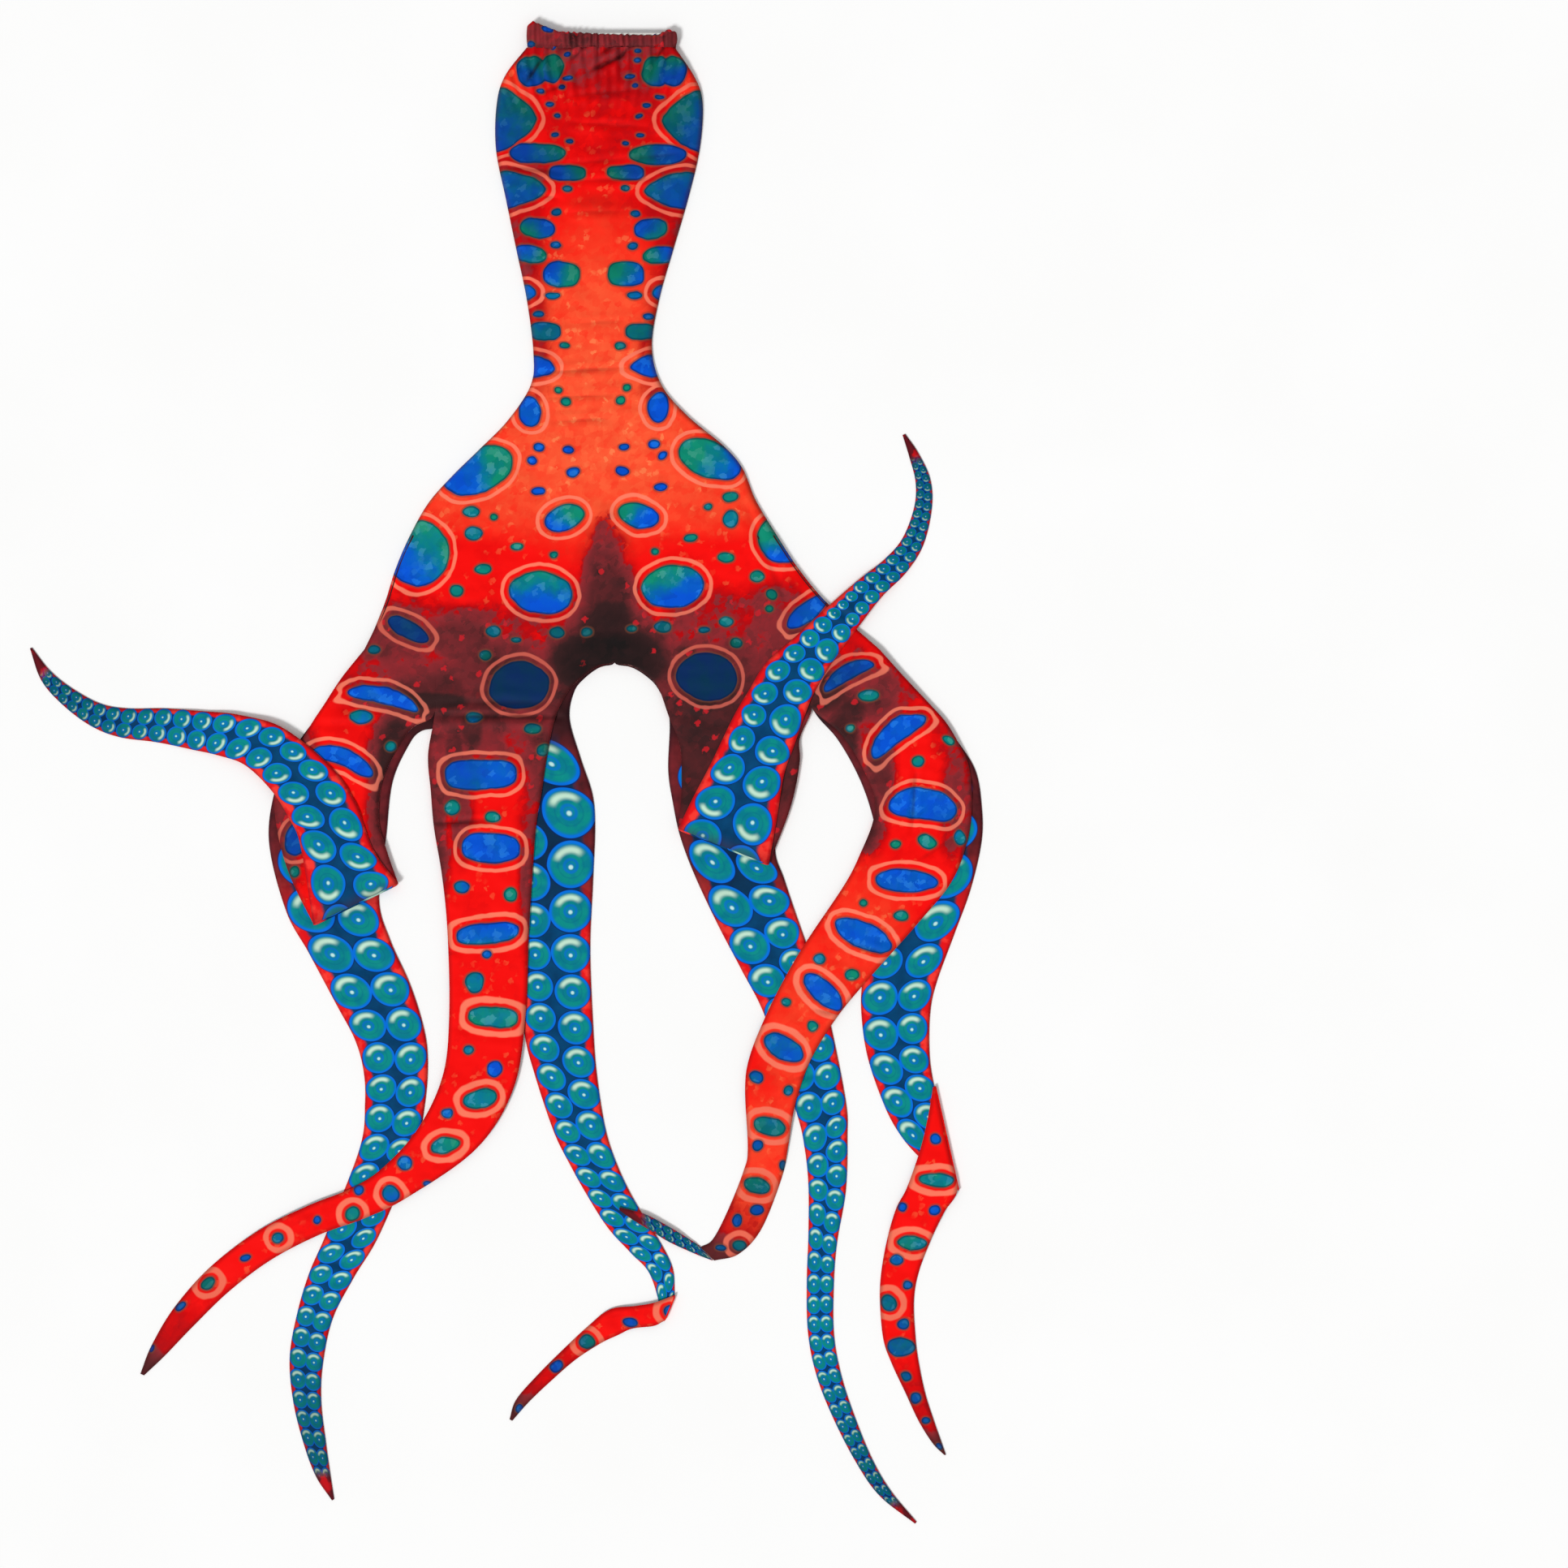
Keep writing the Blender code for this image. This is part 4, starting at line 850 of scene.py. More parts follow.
def make_red_print():
    """Orange-red to maroon mottle in rounded cells, with blue and green spots in salmon rings."""
    material, shader, g = new_material("spotted_print_knit")
    plane = g.new("UVMap", uv_map="pattern").outputs[0]
    drift = g.mul(g.sub(g.noise(plane, 120.0), 0.5), 0.012)
    bent = g.new("VectorMath")
    g.put(plane, bent.inputs[0])
    g.put(drift, bent.inputs[1])
    small, small_far = g.cells(bent.outputs[0], 86.0)
    large, large_far = g.cells(bent.outputs[0], 62.0)
    cloud = g.noise(plane, 26.0, 3.0)
    shade, deep, glow = g.attribute("shade"), g.attribute("deep"), g.attribute("glow")
    jitter = g.mad(small, 0.16, g.mad(large, 0.12, g.mul(cloud, 0.22)))
    jitter = g.sub(jitter, 0.25)
    jitter = g.mad(g.sub(g.noise(plane, 12.0, 2.0), 0.5), 0.55, jitter)
    lively = g.band(g.add(shade, deep), 0.16, 0.62, 0.12)
    jitter = g.mul(jitter, g.mad(lively, 0.7, 0.3))
    jitter = g.mul(jitter, g.mad(g.step(deep, 0.0, 0.3), -0.55, 1.0))
    level = g.add(jitter, g.mad(deep, 0.8, shade), clamp=True)
    ground = g.ramp(level, [(0.0, rgb(250, 8, 6)), (0.13, rgb(222, 2, 4)), (0.30, rgb(176, 4, 12)),
                            (0.37, rgb(146, 40, 46)), (0.58, rgb(112, 38, 42)), (0.78, rgb(56, 30, 31)),
                            (1.0, rgb(24, 21, 21))])
    patchy = g.mad(small, 0.45, g.mad(large, -0.35, 0.55))
    hot = g.mul(glow, g.add(patchy, g.mul(cloud, 0.75)), clamp=True)
    hot = g.mul(hot, g.step(level, 0.34, 0.10))
    ground = g.mix(hot, ground, rgb(255, 94, 54))
    fleck = g.mul(g.step(small, 0.80, 0.90), g.step(small_far, 0.56, 0.36))
    fleck = g.mul(fleck, g.step(cloud, 0.38, 0.62))
    bright = g.mul(fleck, g.mad(glow, 0.45, 0.22))
    bright = g.mul(bright, g.step(level, 0.24, 0.12))
    ground = g.mix(bright, ground, rgb(255, 138, 84))
    ember = g.mul(g.step(large, 0.90, 0.93), g.mul(g.step(large_far, 0.42, 0.24), g.step(level, 0.32, 0.44)))
    ground = g.mix(g.mul(ember, 0.7), ground, rgb(214, 28, 40))
    blob, ring = g.attribute("blob"), g.attribute("ring")
    halo = g.mul(g.band(ring, RING_FROM, RING_TO, 0.0011), 0.92)
    dusk = g.attribute("dusk")
    salmon = g.mix(g.mul(dusk, 0.8), rgb(255, 128, 100), rgb(214, 78, 62))
    salmon = g.mix(g.mul(shade, 0.75), salmon, rgb(168, 92, 84))
    colour = g.mix(halo, ground, salmon)
    glow_edge = g.mul(g.band(blob, -0.001, 0.0026, 0.0016), 0.6)
    colour = g.mix(glow_edge, colour, rgb(112, 66, 48))
    green = g.mad(g.sub(cloud, 0.5), 0.9, g.attribute("green"), clamp=True)
    fill = g.ramp(green, [(0.0, rgb(0, 84, 214)), (0.35, rgb(0, 98, 198)), (0.60, rgb(0, 120, 150)),
                          (1.0, rgb(10, 140, 112))])
    fill = g.mix(g.mul(g.step(large, 0.35, 0.9), 0.35), fill, g.mix(green, rgb(0, 62, 168), rgb(0, 112, 104)))
    patch = g.mul(g.step(small, 0.66, 0.95), 0.5)
    fill = g.mix(patch, fill, g.mix(green, rgb(24, 124, 246), rgb(84, 172, 150)))
    fill = g.mix(dusk, fill, g.mix(green, rgb(6, 42, 92), rgb(0, 60, 58)))
    rim = g.step(blob, -0.0048, -0.0012)
    fill = g.mix(g.mul(rim, 0.75), fill, g.mix(green, rgb(4, 26, 70), rgb(4, 52, 58)))
    colour = g.mix(g.step(blob, 0.0007, -0.0007), colour, fill)
    # Painted shade along the seams, where the cloth rounds down to them.
    seam = g.mul(g.step(g.attribute("edge"), SEAM_SHADE_REACH, 0.0), 0.45)
    colour = g.mix(seam, colour, rgb(54, 8, 12))
    # Painted shade: the creases and the casing's ruffle valleys darken to near black.
    colour = g.mix(g.attribute("painted_fold_shade"), colour, rgb(20, 6, 8))
    knit_finish(g, shader, plane, colour)
    return material


def make_sucker_print():
    """Two rows of round teal suckers on deep blue, with scalloped red margins."""
    material, shader, g = new_material("sucker_print_knit")
    plane = g.new("UVMap", uv_map="pattern").outputs[0]
    across, half = g.attribute("across"), g.attribute("half")
    haze = g.noise(plane, 34.0, 3.0)

    def sucker(side, sign):
        """Place in one row's nearest sucker: across, towards the tip, and distance, with the rim at 1."""
        pitch = g.attribute("pitch_" + side)
        reach = g.math("MINIMUM", g.mul(pitch, 0.49), g.mul(half, 0.56))
        x = g.div(g.sub(across, g.mul(half, 0.475 * sign)), reach)
        turns = g.math("FRACT", g.add(g.attribute("phase_" + side), 0.5))
        y = g.div(g.sub(turns, 0.5), 0.485)
        return x, y, g.math("SQRT", g.add(g.mul(x, x), g.mul(y, y)))

    one, other = sucker("left", -1.0), sucker("right", 1.0)
    use_one = g.math("LESS_THAN", one[2], other[2])
    x, y, radius = (g.add(g.mul(a, use_one), g.mul(b, g.sub(1.0, use_one))) for a, b in zip(one, other))
    margin = g.sub(g.div(g.math("ABSOLUTE", across), half), 0.72)
    margin = g.add(margin, g.mul(g.sub(haze, 0.5), 0.16))
    blue = g.mix(haze, rgb(0, 48, 84), rgb(0, 76, 126))
    blue = g.mix(g.mul(g.attribute("dusk"), 0.6), blue, rgb(12, 22, 34))
    red = g.mix(g.step(haze, 0.45, 0.62), rgb(232, 16, 22), rgb(250, 58, 48))
    red = g.mix(g.attribute("dusk"), red, g.mix(haze, rgb(40, 20, 24), rgb(132, 38, 44)))
    ground = g.mix(g.step(margin, -0.03, 0.05), blue, red)
    ground = g.mix(g.mul(g.band(margin, -0.03, 0.04, 0.03), 0.4), ground, rgb(60, 40, 70))
    body = g.mix(g.step(haze, 0.38, 0.62), rgb(0, 124, 140), rgb(4, 140, 134))
    body = g.mix(g.step(radius, 0.74, 0.92), body, rgb(0, 118, 186))
    body = g.mix(g.mul(g.band(radius, 0.50, 0.56, 0.03), 0.35), body, rgb(0, 100, 130))
    body = g.mix(g.mul(g.band(radius, 0.20, 0.33, 0.04), 0.85), body, rgb(0, 112, 196))
    body = g.mix(g.step(radius, 0.20, 0.12), body, rgb(0, 126, 176))
    dot_far = g.math("SQRT", g.add(g.mul(x, x), g.math("POWER", g.sub(y, 0.05), 2.0)))
    body = g.mix(g.step(dot_far, 0.13, 0.05), body, rgb(190, 232, 226))
    far = g.add(radius, 0.001)
    facing = g.sub(g.div(g.mul(x, -0.22), far), g.div(y, far))
    crescent = g.mul(g.band(radius, 0.53, 0.76, 0.10), g.step(facing, 0.42, 0.86))
    body = g.mix(crescent, body, rgb(196, 230, 208))
    body = g.mix(g.band(radius, 0.875, 1.02, 0.035), body, rgb(0, 112, 222))
    colour = g.mix(g.step(radius, 1.015, 0.985), ground, body)
    line = g.band(radius, 0.985, 1.03, 0.015)
    colour = g.mix(g.mul(line, 0.85), colour, rgb(6, 34, 96))
    # Suckers darker towards a tip, as printed, and painted shade on the cloth round a fold.
    colour = g.mix(g.attribute("tip_dim_and_fold_shade"), colour, rgb(0, 22, 44))
    tip = g.mix(g.step(haze, 0.5, 0.66), rgb(104, 20, 28), rgb(196, 14, 22))
    colour = g.mix(g.attribute("tip"), colour, tip)
    maroon = g.mix(g.noise(plane, 20.0, 3.0), rgb(22, 17, 18), rgb(78, 28, 33))
    colour = g.mix(g.attribute("fade"), colour, maroon)
    # Painted shade along the seams, where the cloth rounds down to them.
    seam = g.mul(g.step(g.attribute("edge"), 0.008, 0.0), 0.45)
    colour = g.mix(seam, colour, rgb(16, 8, 22))
    knit_finish(g, shader, plane, colour)
    return material


def make_plain_knit(name, dark, light):
    """Unprinted or plainly dyed knit with a little mottle."""
    material, shader, g = new_material(name)
    plane = g.new("TexCoord").outputs["Object"]
    knit_finish(g, shader, plane, g.mix(g.noise(plane, 22.0, 4.0), dark, light))
    return material


material_red = make_red_print()
material_suckers = make_sucker_print()
material_reverse = make_plain_knit("knit_reverse", rgb(190, 120, 115), rgb(225, 180, 172))
material_facing = make_plain_knit("facing_knit", rgb(26, 20, 20), rgb(72, 26, 30))
material_elastic = make_plain_knit("woven_elastic", rgb(205, 202, 196), rgb(232, 230, 225))
material_thread = make_plain_knit("sewing_thread", rgb(96, 10, 14), rgb(150, 20, 24))
PRINTS = {"outer": ("spotted_print_knit", material_red), "suckers": ("sucker_print_knit", material_suckers)}
FRONT_SPOTS = (FRONT_RINGED, FRONT_DOTS)


# The body: two outer panels, two facings, two side seams ------------------------------------------

def body_points(columns, cell, first_row=0, inset=0.0):
    """Rows and points over the body's outline from a row on, and how far each is from the edges."""
    rows = fine_rows([(*edges, 0.0) for edges in BODY_EDGES[first_row:]], cell)
    return rows, *ladder_grid(rows, columns, inset)[1:]


def seam_height(y, front):
    """Height of a panel's side edge: together along the body, parted at the waist ring and at the hem."""
    near_ring = smooth((y - 1.285) / 0.062)
    at_hem = smooth((0.328 - y) / 0.09)
    height = (1.5 if front else 0.9) * MM + (WAIST_HEIGHT / 2 - 1.2 * MM) * near_ring
    return height + ((8.3 if front else 0.3) * MM) * at_hem


def make_body():
    """Front and back panels. Only the front carries the wrinkles and the gathers that show."""
    rows, x, y, near = body_points(190, BODY_CELL)
    round_off = rounded(near, SIDE_ROUND)
    top = FRONT_TOP + WAIST_LIFT * smooth((y - WAIST_RISE_Y[0]) / (WAIST_RISE_Y[1] - WAIST_RISE_Y[0]))
    low = seam_height(y, True)
    z = low + (top - low) * round_off
    soft = smooth(near / (1.6 * SIDE_ROUND)) * smooth((y - HEM_Y) / 0.03)
    z = z + soft * (wrinkles(x, y) + creases(x, y)) + smooth(near / SIDE_ROUND) * gathers(x, y)
    over_facing = smooth((0.44 - y) / 0.03) * smooth(near / SIDE_ROUND)
    z = z + over_facing * (above(z, OVER_FACING) - z)
    attributes = spotted(x, y, *FRONT_SPOTS, edge=near, creased=True)
    panel = grid_mesh("front_panel_cloth", x, y, z, True, attributes)
    thicken(panel, material_red, material_reverse)
    finish_sheet(panel, ["front_panel"], "tail", "spotted_print_knit")

    rows, x, y, near = body_points(120, 2 * BODY_CELL)
    z = BACK_LOW + (seam_height(y, False) - BACK_LOW) * (1.0 - rounded(near, SIDE_ROUND))
    panel = grid_mesh("back_panel_cloth", x, y, z, False, spotted(x, y, *FRONT_SPOTS, edge=near))
    thicken(panel, material_red, material_reverse)
    finish_sheet(panel, ["back_panel"], "tail", "spotted_print_knit")


def make_facings():
    """The dark inner layers of the flare."""
    for node, height, up in (("front_facing", 8.8 * MM, False), ("back_facing", 1.9 * MM, True)):
        rows, x, y, near = body_points(100, HIDDEN_CELL, first_row=13, inset=5.0 * MM)
        z = height + 0.3 * wrinkles(x, y) * smooth(near / 0.02)
        piece = grid_mesh(node + "_cloth", x, y, z, up, {"edge": near})
        thicken(piece, material_facing, material_facing)
        finish_sheet(piece, [node], "tail", "facing_knit")


def swept_tube(name, path, radius, sides):
    """A round tube of thread along a path of points, with capped ends."""
    count = len(path)
    along = np.gradient(path, axis=0)
    along /= np.linalg.norm(along, axis=1)[:, None]
    side = np.cross(along, (0.0, 0.0, 1.0))
    side /= np.linalg.norm(side, axis=1)[:, None] + 1e-9
    rise = np.cross(side, along)
    turn = np.linspace(0.0, 2 * math.pi, sides, endpoint=False)[None, :, None]
    ring = side[:, None] * np.cos(turn) + rise[:, None] * np.sin(turn)
    rim = path[:, None] + radius[:, None, None] * ring
    faces = []
    for low in range(0, (count - 1) * sides, sides):
        for k in range(sides):
            after = (k + 1) % sides
            faces.append((low + k, low + after, low + sides + after, low + sides + k))
    faces += [tuple(range(sides))[::-1], tuple((count - 1) * sides + k for k in range(sides))]
    mesh = bpy.data.meshes.new(name)
    mesh.from_pydata([tuple(p) for p in rim.reshape(-1, 3)], [], faces)
    mesh.validate()
    mesh.shade_smooth()
    mesh.materials.append(material_thread)
    return new_object(name, mesh)


def make_side_seams():
    """The overlocked edge where the panels meet, with a fine ripple of thread."""
    rows = fine_rows([(*edges, 0.0) for edges in BODY_EDGES[:17]], 1.6 * MM)
    for node, side, inward in (("side_seam_left", "left", 1.0), ("side_seam_right", "right", -1.0)):
        edge = rows[side]
        z = (seam_height(edge[:, 1], True) + seam_height(edge[:, 1], False)) / 2
        path = np.column_stack([edge[:, 0] + inward * 0.7 * MM, edge[:, 1], z])
        radius = 0.75 * MM + 0.12 * MM * np.sin(rows["run"] * 2 * math.pi / (3.2 * MM))
        place(swept_tube(node + "_overlock", path, radius, 8), "spotted_print_knit", "tail", node)


# The waist: casing, elastic, stitches -------------------------------------------------------------

def ring_path(columns, inward):
    """Points round the waist's flattened ring, moved inward: X, Z and the outward direction at each."""
    half = WAIST_HEIGHT / 2
    left, right = WAIST_X[0] + half, WAIST_X[1] - half
    straight, arc = right - left, math.pi * half
    s = np.linspace(0.0, 2 * (straight + arc), columns, endpoint=False)
    x, nx, nz = (np.zeros(columns) for _ in range(3))
    for start, turned in ((0.0, 1.0), (straight + arc, -1.0)):
        t = s - start
        flat = (t >= 0) & (t < straight)
        x[flat] = (left + t[flat]) if turned > 0 else (right - t[flat])
        nz[flat] = -turned
        bend = (t >= straight) & (t < straight + arc)
        angle = (t[bend] - straight) / half
        x[bend] = right if turned > 0 else left
        nx[bend] = turned * np.sin(angle)
        nz[bend] = -turned * np.cos(angle)
    return x + nx * (half - inward), half + nz * (half - inward), nx, nz


def waist_top(x):
    """The gathered top line of the casing, which stands up more at the sides."""
    places = (0.041, 0.049, 0.073, 0.099, 0.181, 0.259, 0.282, 0.295, 0.303, 0.314)
    heights = (1.388, 1.395, 1.386, 1.376, 1.371, 1.369, 1.370, 1.377, 1.380, 1.374)
    return np.interp(x, places, heights)


def ruffle(x, side):
    """0 to 1: the gathers of the casing along the ring, different on the back."""
    place = x + 0.31 * (side < 0)
    wave = np.sin(place * 2 * math.pi / 0.0125 + 3.4 * noise(place, 0.2 + 0 * x, 0.035, 21))
    wave = 0.6 * wave + 0.4 * np.sin(place * 2 * math.pi / 0.0083 + 5.0 * noise(place, 0.4 + 0 * x, 0.03, 22))
    strong = 0.75 + 0.45 * noise(place, 0.7 + 0 * x, 0.021, 23)
    return 0.5 + 0.5 * wave * strong


def ruffled(z, puff, fold):
    """How far the casing stands out where its ruffles lift: less near the floor."""
    return GATHER_PUFF * fold * puff * smooth((z - 4.0 * MM) / (7.0 * MM))


def close_ring(parts):
    """Stack rows of points round the ring, with the first column repeated at the end."""
    return (np.hstack([part, part[:, :1]]) for part in map(np.vstack, parts))


def ring_sheet(name, x, y, z, attributes, material, reverse, thickness=KNIT):
    """A finished band round the waist, welded where it closes, its face out: up on the front wall."""
    piece = grid_mesh(name, x, y, z, True, attributes)
    work = bmesh.new()
    work.from_mesh(piece.data)
    bmesh.ops.remove_doubles(work, verts=work.verts, dist=WELD)
    work.to_mesh(piece.data)
    work.free()
    if max(piece.data.polygons, key=lambda face: face.center.z).normal.z < 0.0:
        piece.data.flip_normals()
    thicken(piece, material, reverse, thickness)
    return piece


def make_casing():
    """The folded-over top edge, ruffled by the elastic inside it."""
    columns = 560
    x0, z0, nx, nz = ring_path(columns, 0.0)
    fold = ruffle(x0, nz)
    top = waist_top(x0) + 1.6 * MM * (2.0 * fold - 1.0)
    # Inward in mm, share of the height, puff: up the outer wall, over the top, and down inside
    profile = [(0, -0.06, 0.35), (0, 0.03, 0.28), (0, 0.12, 0.5), (0, 0.25, 0.9), (0, 0.40, 1.1),
               (0, 0.55, 1.15), (0, 0.70, 1.1), (0, 0.84, 0.9), (0, 0.94, 0.7), (0.9, 0.99, 0.5),
               (1.9, 1.0, 0.4), (2.9, 0.985, 0.35), (3.8, 0.93, 0.2), (3.8, 0.70, 0.1), (3.8, 0.45, 0.05),
               (3.8, 0.20, 0.0), (3.8, 0.02, 0.0)]
    xs, ys, zs = [], [], []
    for inward, share, puff in profile:
        x, z, nx, nz = ring_path(columns, inward * MM)
        outward = ruffled(z0, puff, fold)
        lean = 3.0 * MM * noise(x0, 0 * x0 + 0.5, 0.04, 34) * share
        uneven = (1.6 * (fold - 0.5) + 1.8 * noise(x0, 0 * x0, 0.03, 33)) * MM * max(0.0, 1.0 - share / 0.3)
        xs.append(x + nx * outward + lean * nz)
        ys.append(WAIST_LOW + (top - WAIST_LOW) * share + uneven)
        zs.append(np.maximum(z + nz * outward, 0.1 * MM))
    x, y, z = close_ring((xs, ys, zs))
    dull = spotted(x, y, [], WAIST_SPOTS)
    dull["shade"] = np.clip(0.50 + 0.15 * noise(x, y, 0.02, 31), 0.0, 1.0)
    dull["deep"] = np.full_like(x, 0.05)
    # Painted shade in the valleys between the casing's ruffles.
    dull["painted_fold_shade"] = np.clip(0.5 - np.append(fold, fold[:1])[None, :] * np.ones_like(x), 0.0, 0.5)
    piece = ring_sheet("waist_casing_cloth", x, y, z, dull, material_red, material_reverse)
    place(piece, "spotted_print_knit", "tail", "waist_casing")


def make_elastic():
    """A ribbed woven band inside the casing."""
    xs, ys, zs = [], [], []
    for share in np.linspace(0.0, 1.0, 14):
        rib = 0.12 * MM * math.cos(share * 13 * math.pi)
        x, z, _, _ = ring_path(400, 1.5 * MM - rib)
        xs.append(x)
        ys.append(np.full_like(x, ELASTIC_LOW + ELASTIC_WIDE * share))
        zs.append(z)
    x, y, z = close_ring((xs, ys, zs))
    cloth = (material_elastic, material_elastic, 0.9 * MM)
    piece = ring_sheet("waist_elastic_band", x, y, z, {"edge": x}, *cloth)
    place(piece, "woven_elastic", "tail", "waist_elastic")


def make_stitches():
    """A row of short stitches that closes the casing over the gathers."""
    columns = 1400
    x, z, nx, nz = ring_path(columns, 0.0)
    outward = ruffled(z, 0.38, ruffle(x, nz)) + 0.15 * MM
    y = WAIST_LOW + (waist_top(x) - WAIST_LOW) * 0.06
    path = np.column_stack([x + nx * outward, y, np.maximum(z + nz * outward, 0.3 * MM)])
    taper = 0.26 * MM * np.array([0.45, 0.9, 1.0, 1.0, 1.0, 0.9, 0.45])
    pieces = [swept_tube("stitch", path[start:start + 7], taper, 6) for start in range(0, columns - 8, 10)]
    place(join_pieces(pieces, "casing_stitches"), "sewing_thread", "tail", "casing_stitch")


def join_pieces(pieces, name):
    """One object from many small ones of the same material."""
    work = bmesh.new()
    for piece in pieces:
        work.from_mesh(piece.data)
    mesh = bpy.data.meshes.new(name)
    work.to_mesh(mesh)
    work.free()
    mesh.materials.append(pieces[0].data.materials[0])
    mesh.shade_smooth()
    for piece in pieces:
        bpy.data.objects.remove(piece)
    return new_object(name, mesh)


# The tentacles ------------------------------------------------------------------------------------

def blend_at(piece):
    """Bake the piece's transform into its mesh."""
    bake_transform(piece)


def lifted_tentacle(tentacle, root, spots=None):
    """A tentacle that lies in one run, one piece a face."""
    for face, other in (("outer", "suckers"), ("suckers", "outer")):
        upper = (face == "outer") == root["outer_up"]
        fine = upper or root["outer_up"]
        rows = fine_rows(TENTACLES[tentacle + "_whole"], CELL if fine else HIDDEN_CELL, creased=True)
        nodes = [f"{tentacle}_{face}_root", f"{tentacle}_{face}_free"]
        piece = tube_sheet(f"{tentacle}_{face}_cloth", rows, face, upper, nodes, None, root,
                           spots if upper else None, fine, root["faded"])
        blend_at(piece)


def mix_by(ends, share):
    """From the first to the second of two values."""
    return ends[0] + (ends[1] - ends[0]) * share


def crease_strip(tentacle, face, ends, low, high, pinched, printed_out, phase):
    """The cloth that wraps round a fold, from the root's height to the free half's, standing out from it.

    low and high are those heights at the crease's ends and over its middle.
    """
    start, end = map(np.array, ends)
    length = float(np.linalg.norm(end - start))
    ray = (end - start) / length
    root = TENTACLES[tentacle + "_root"]
    inside = np.mean([np.mean([row[:2], row[2:4]], axis=0) for row in root[-5:-1]], axis=0)
    out = np.array([ray[1], -ray[0]])
    if np.dot(out, inside - start) > 0:
        out = -out
    columns, turns = max(12, round(length / CELL) + 1), 13
    u = np.linspace(0.0, 1.0, columns)[None, :] * np.ones((turns, 1))
    v = np.linspace(0.0, 1.0, turns)[:, None] * np.ones((1, columns))
    near = np.minimum(u, 1.0 - u) * length
    full = rounded(near, np.minimum(length / 2, EDGE_ROUND)) if pinched else np.ones_like(u)
    low, high = mix_by(low, full), mix_by(high, full)
    bulge = CREASE_BULGE * (1.0 if printed_out else 0.4)
    swell = bulge * (0.35 + 0.65 * full) * np.sin(math.pi * v)
    z = low + (high - low) * (0.5 - 0.5 * np.cos(math.pi * v))
    x = mix_by((start[0], end[0]), u) + out[0] * swell
    y = mix_by((start[1], end[1]), u) + out[1] * swell
    reach = (high.mean() - low.mean()) + 2 * bulge
    if face == "outer":
        attributes = spotted(x, y, *FRONT_SPOTS, edge=near + 0.002)
    else:
        pitch, none = sucker_pitch(length) + 0 * u, 0 * u
        turned = (v - 1.0) * reach / pitch
        # Painted shade: the suckers round the fold are darkened by 0.3.
        attributes = {"across": (u - 0.5) * length, "half": 0.5 * length + none, "fade": none, "tip": none,
                      "tip_dim_and_fold_shade": 0.3 + none, "dusk": none, "edge": near + 0.002,
                      "pitch_left": pitch, "pitch_right": pitch,
                      "phase_left": phase[0] + turned, "phase_right": phase[1] + turned}
    name = f"{tentacle}_{face}_crease_cloth"
    piece = grid_mesh(name, x, y, z, True, attributes, (x + 0.3 * v * reach, y))
    piece.data.update()
    total = sum(polygon.normal.x * out[0] + polygon.normal.y * out[1] for polygon in piece.data.polygons)
    if (total > 0) != printed_out:
        piece.data.flip_normals()
    slot, printed = PRINTS[face]
    thicken(piece, printed, material_reverse)
    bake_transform(piece)
    return piece


def face_heights(base, upper, crown, under):
    """Height of a face at its seams and over its middle."""
    return (base + SEAM_RISE, base + SEAM_RISE + crown) if upper else (base + UNDER_SEAM, base + under)


def folded_tentacle(tentacle, root, spots=None):
    """A tentacle folded back over itself: root faces, the cloth round the crease, and free faces."""
    root_table, free_table = TENTACLES[tentacle + "_root"], TENTACLES[tentacle + "_free"]
    last, first = root_table[-1], free_table[0]
    root_base, free_base = last[4] * MM, first[4] * MM
    straight = tentacle not in FOLD_LINES
    ends = FOLD_LINES.get(tentacle, (last[:2], last[2:4]))
    crown = CROWN * min(1.0, math.dist(*ends) / CROWN_WIDTH) if straight else 0.0
    under = UNDER_MIDDLE if straight else UNDER_SEAM
    for face, other in (("outer", "suckers"), ("suckers", "outer")):
        root_up = (face == "outer") == root["outer_up"]
        name = f"{tentacle}_{face}"
        rows = fine_rows(root_table, CELL if root_up else HIDDEN_CELL, ends=False, creased=True)
        tube_sheet(f"{name}_root_cloth", rows, face, root_up, [f"{name}_root"], "tail", root,
                   FRONT_SPOTS if root["outer_up"] and root_up else None, root_up, root["faded"])
        phase = (rows.get("last_left", 0.0) + 0.5, rows.get("last_right", 0.0) + 0.5)
        if f"{name}_free_left" in SUCKERS:
            phase = (-0.45, -0.25)
        low = face_heights(root_base, root_up, crown, under)
        high = face_heights(free_base, not root_up, crown, under)
        strip = crease_strip(tentacle, face, ends, low, high, straight, not root_up, phase)
        rows = fine_rows(free_table, HIDDEN_CELL if root_up else CELL, phase=phase[0], creased=True)
        tube_sheet(f"{name}_free_cloth", rows, face, not root_up, [f"{name}_free"], tentacle, None,
                   None if root_up else spots, not root_up)


def make_tip():
    """The end of front_4, which twists over to show its suckers."""
    for face, upper in (("outer", False), ("suckers", True)):
        rows = fine_rows(TENTACLES["front_4_tip"], CELL, phase=0.3)
        tube_sheet(f"front_4_{face}_tip_cloth", rows, face, upper, [f"front_4_{face}_tip"], "front_4", None)


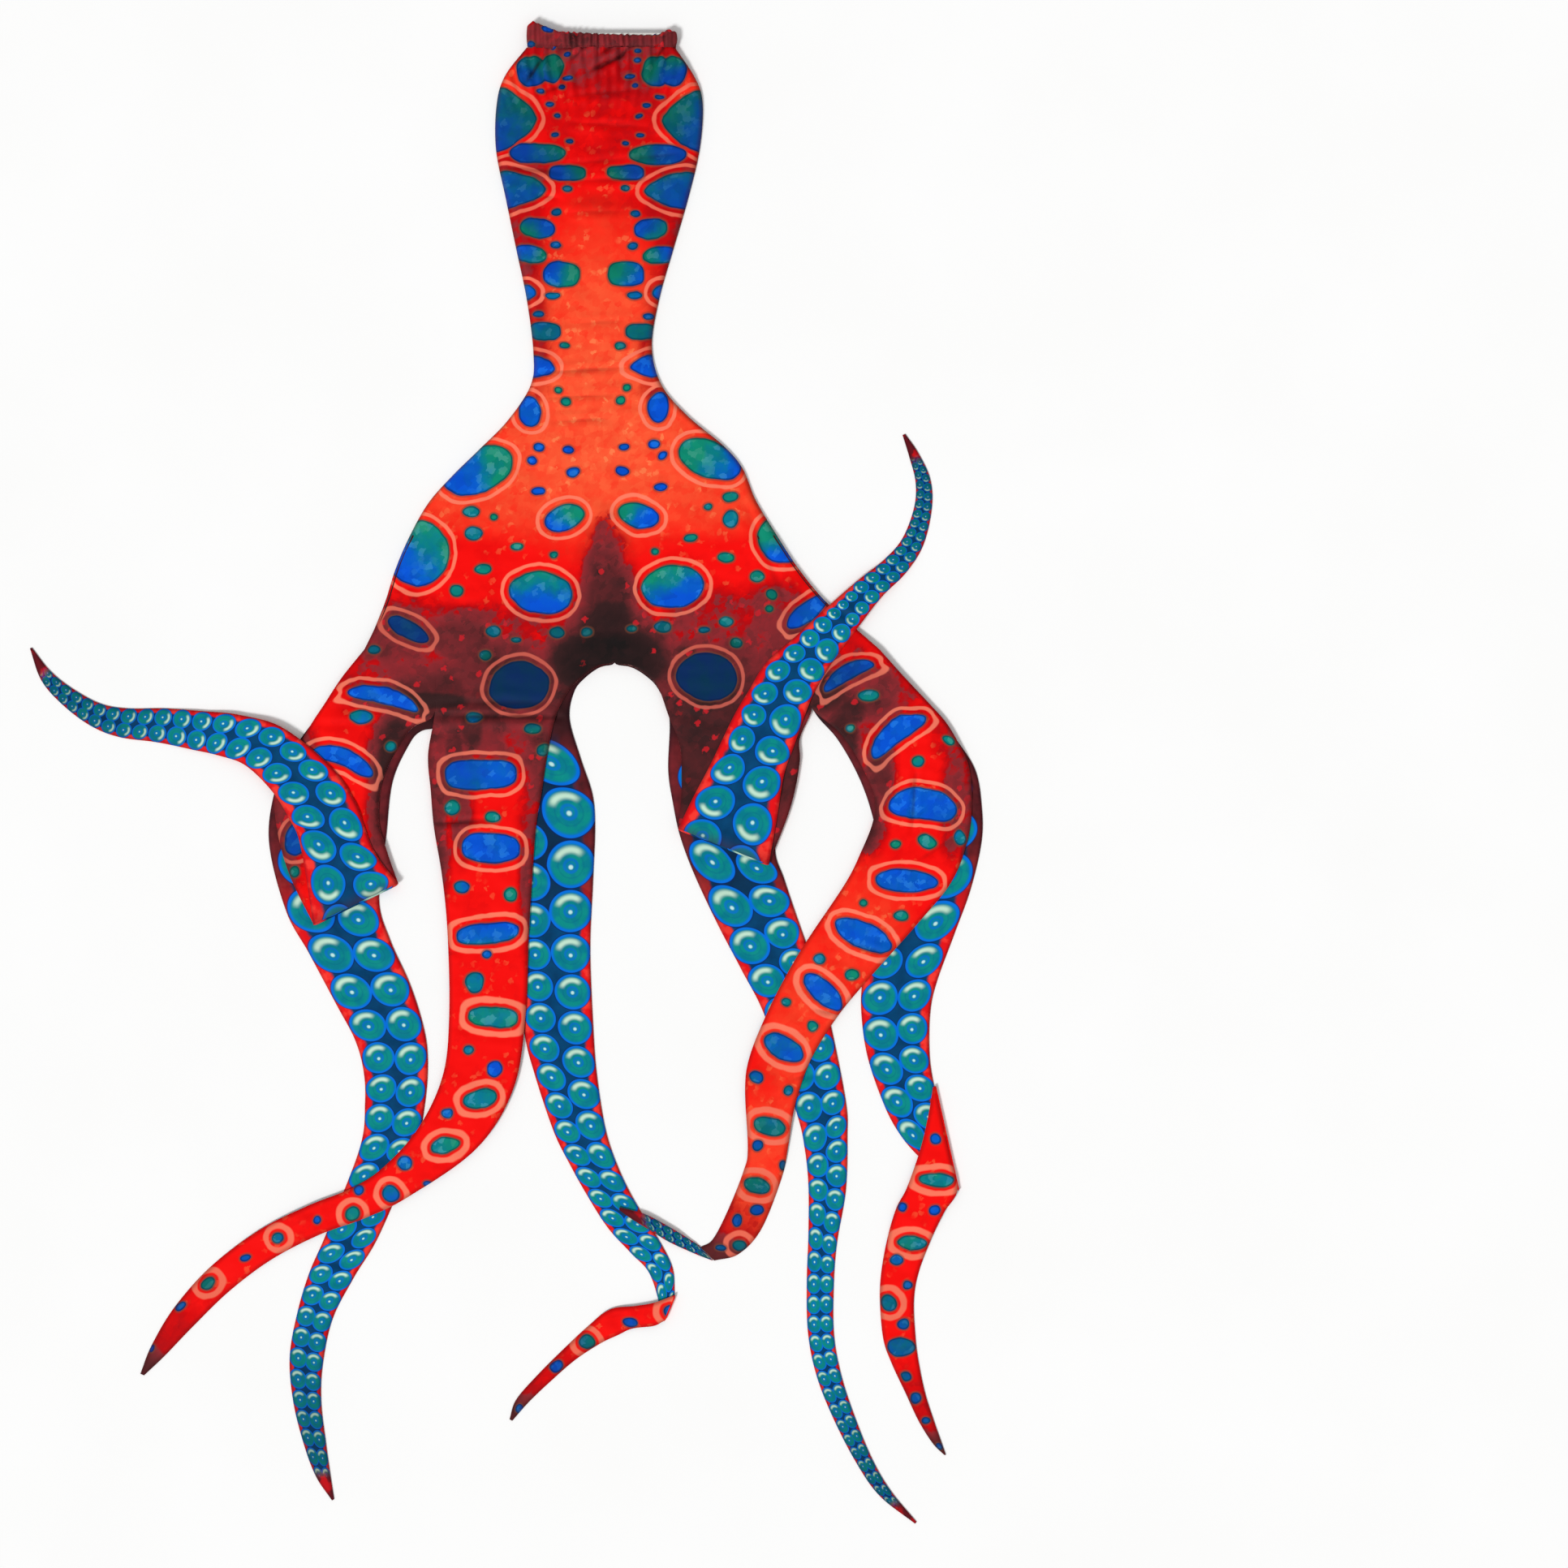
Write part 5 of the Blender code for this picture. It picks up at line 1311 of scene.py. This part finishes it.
def make_tentacles():
    """All eight. A root's left and right say over which rows each of its seams starts."""
    free_edge, arch = (-1.0, 0.0), (0.9, 1.4)
    front = {"outer_up": True, "crown": 0.24, "faded": 0.0}
    back = {"outer_up": False, "crown": 0.1, "faded": BACK_FADED}
    folded_tentacle("front_1", {**front, "left": free_edge, "right": (1.6, 2.6)})
    lifted_tentacle("front_2", {**front, "left": (4.4, 5.6), "right": arch}, FRONT_SPOTS)
    folded_tentacle("front_3", {**front, "left": arch, "right": (4.5, 5.8)})
    lifted_tentacle("front_4", {**front, "left": (1.6, 2.6), "right": free_edge}, FRONT_SPOTS)
    make_tip()
    lifted_tentacle("back_1", {**back, "left": free_edge, "right": (2.6, 3.4)})
    folded_tentacle("back_2", {**back, "left": (4.6, 5.4), "right": arch}, (BACK_2_RINGED, BACK_2_DOTS))
    lifted_tentacle("back_3", {**back, "left": arch, "right": (4.5, 5.8)})
    folded_tentacle("back_4", {**back, "left": (1.6, 2.6), "right": free_edge}, (BACK_4_RINGED, BACK_4_DOTS))


# Floor, light, camera -----------------------------------------------------------------------------

def make_floor():
    material, shader, g = new_material("floor_paper")
    cloud = g.noise(g.new("TexCoord").outputs["Object"], 3.0, 3.0)
    g.put(g.mix(cloud, rgb(252, 252, 251), rgb(255, 255, 255)), shader.inputs["Base Color"])
    shader.inputs["Roughness"].default_value = 0.9
    shader.inputs["Specular IOR Level"].default_value = 0.1
    mesh = bpy.data.meshes.new("floor")
    corners = [(x * FLOOR_HALF, y * FLOOR_HALF, FLOOR_Z) for x, y in ((-1, -1), (1, -1), (1, 1), (-1, 1))]
    mesh.from_pydata(corners, [], [(0, 1, 2, 3)])
    mesh.materials.append(material)
    new_object("floor", mesh)


def make_light():
    """A plain pale world, and one wide soft sun as the studio's window."""
    world = bpy.data.worlds.new("studio")
    bpy.context.scene.world = world
    world.use_nodes = True
    background = world.node_tree.nodes["Background"]
    background.inputs["Color"].default_value = (1.0, 1.0, 1.0, 1.0)
    background.inputs["Strength"].default_value = WORLD_STRENGTH
    lamp = bpy.data.lights.new("window", "SUN")
    lamp.energy = KEY_STRENGTH
    lamp.angle = math.radians(KEY_ANGLE)
    new_object("window", lamp).rotation_euler = (*map(math.radians, KEY_TURN), 0.0)


def make_camera():
    data = bpy.data.cameras.new("camera")
    data.lens = LENS_MM
    data.sensor_width = SENSOR_MM
    camera = new_object("camera", data)
    camera.location = CAMERA_AT
    bpy.context.scene.camera = camera


make_camera()
make_floor()
make_light()
make_body()
make_facings()
make_side_seams()
make_casing()
make_elastic()
make_stitches()
make_tentacles()
bpy.context.scene.view_settings.view_transform = "Standard"
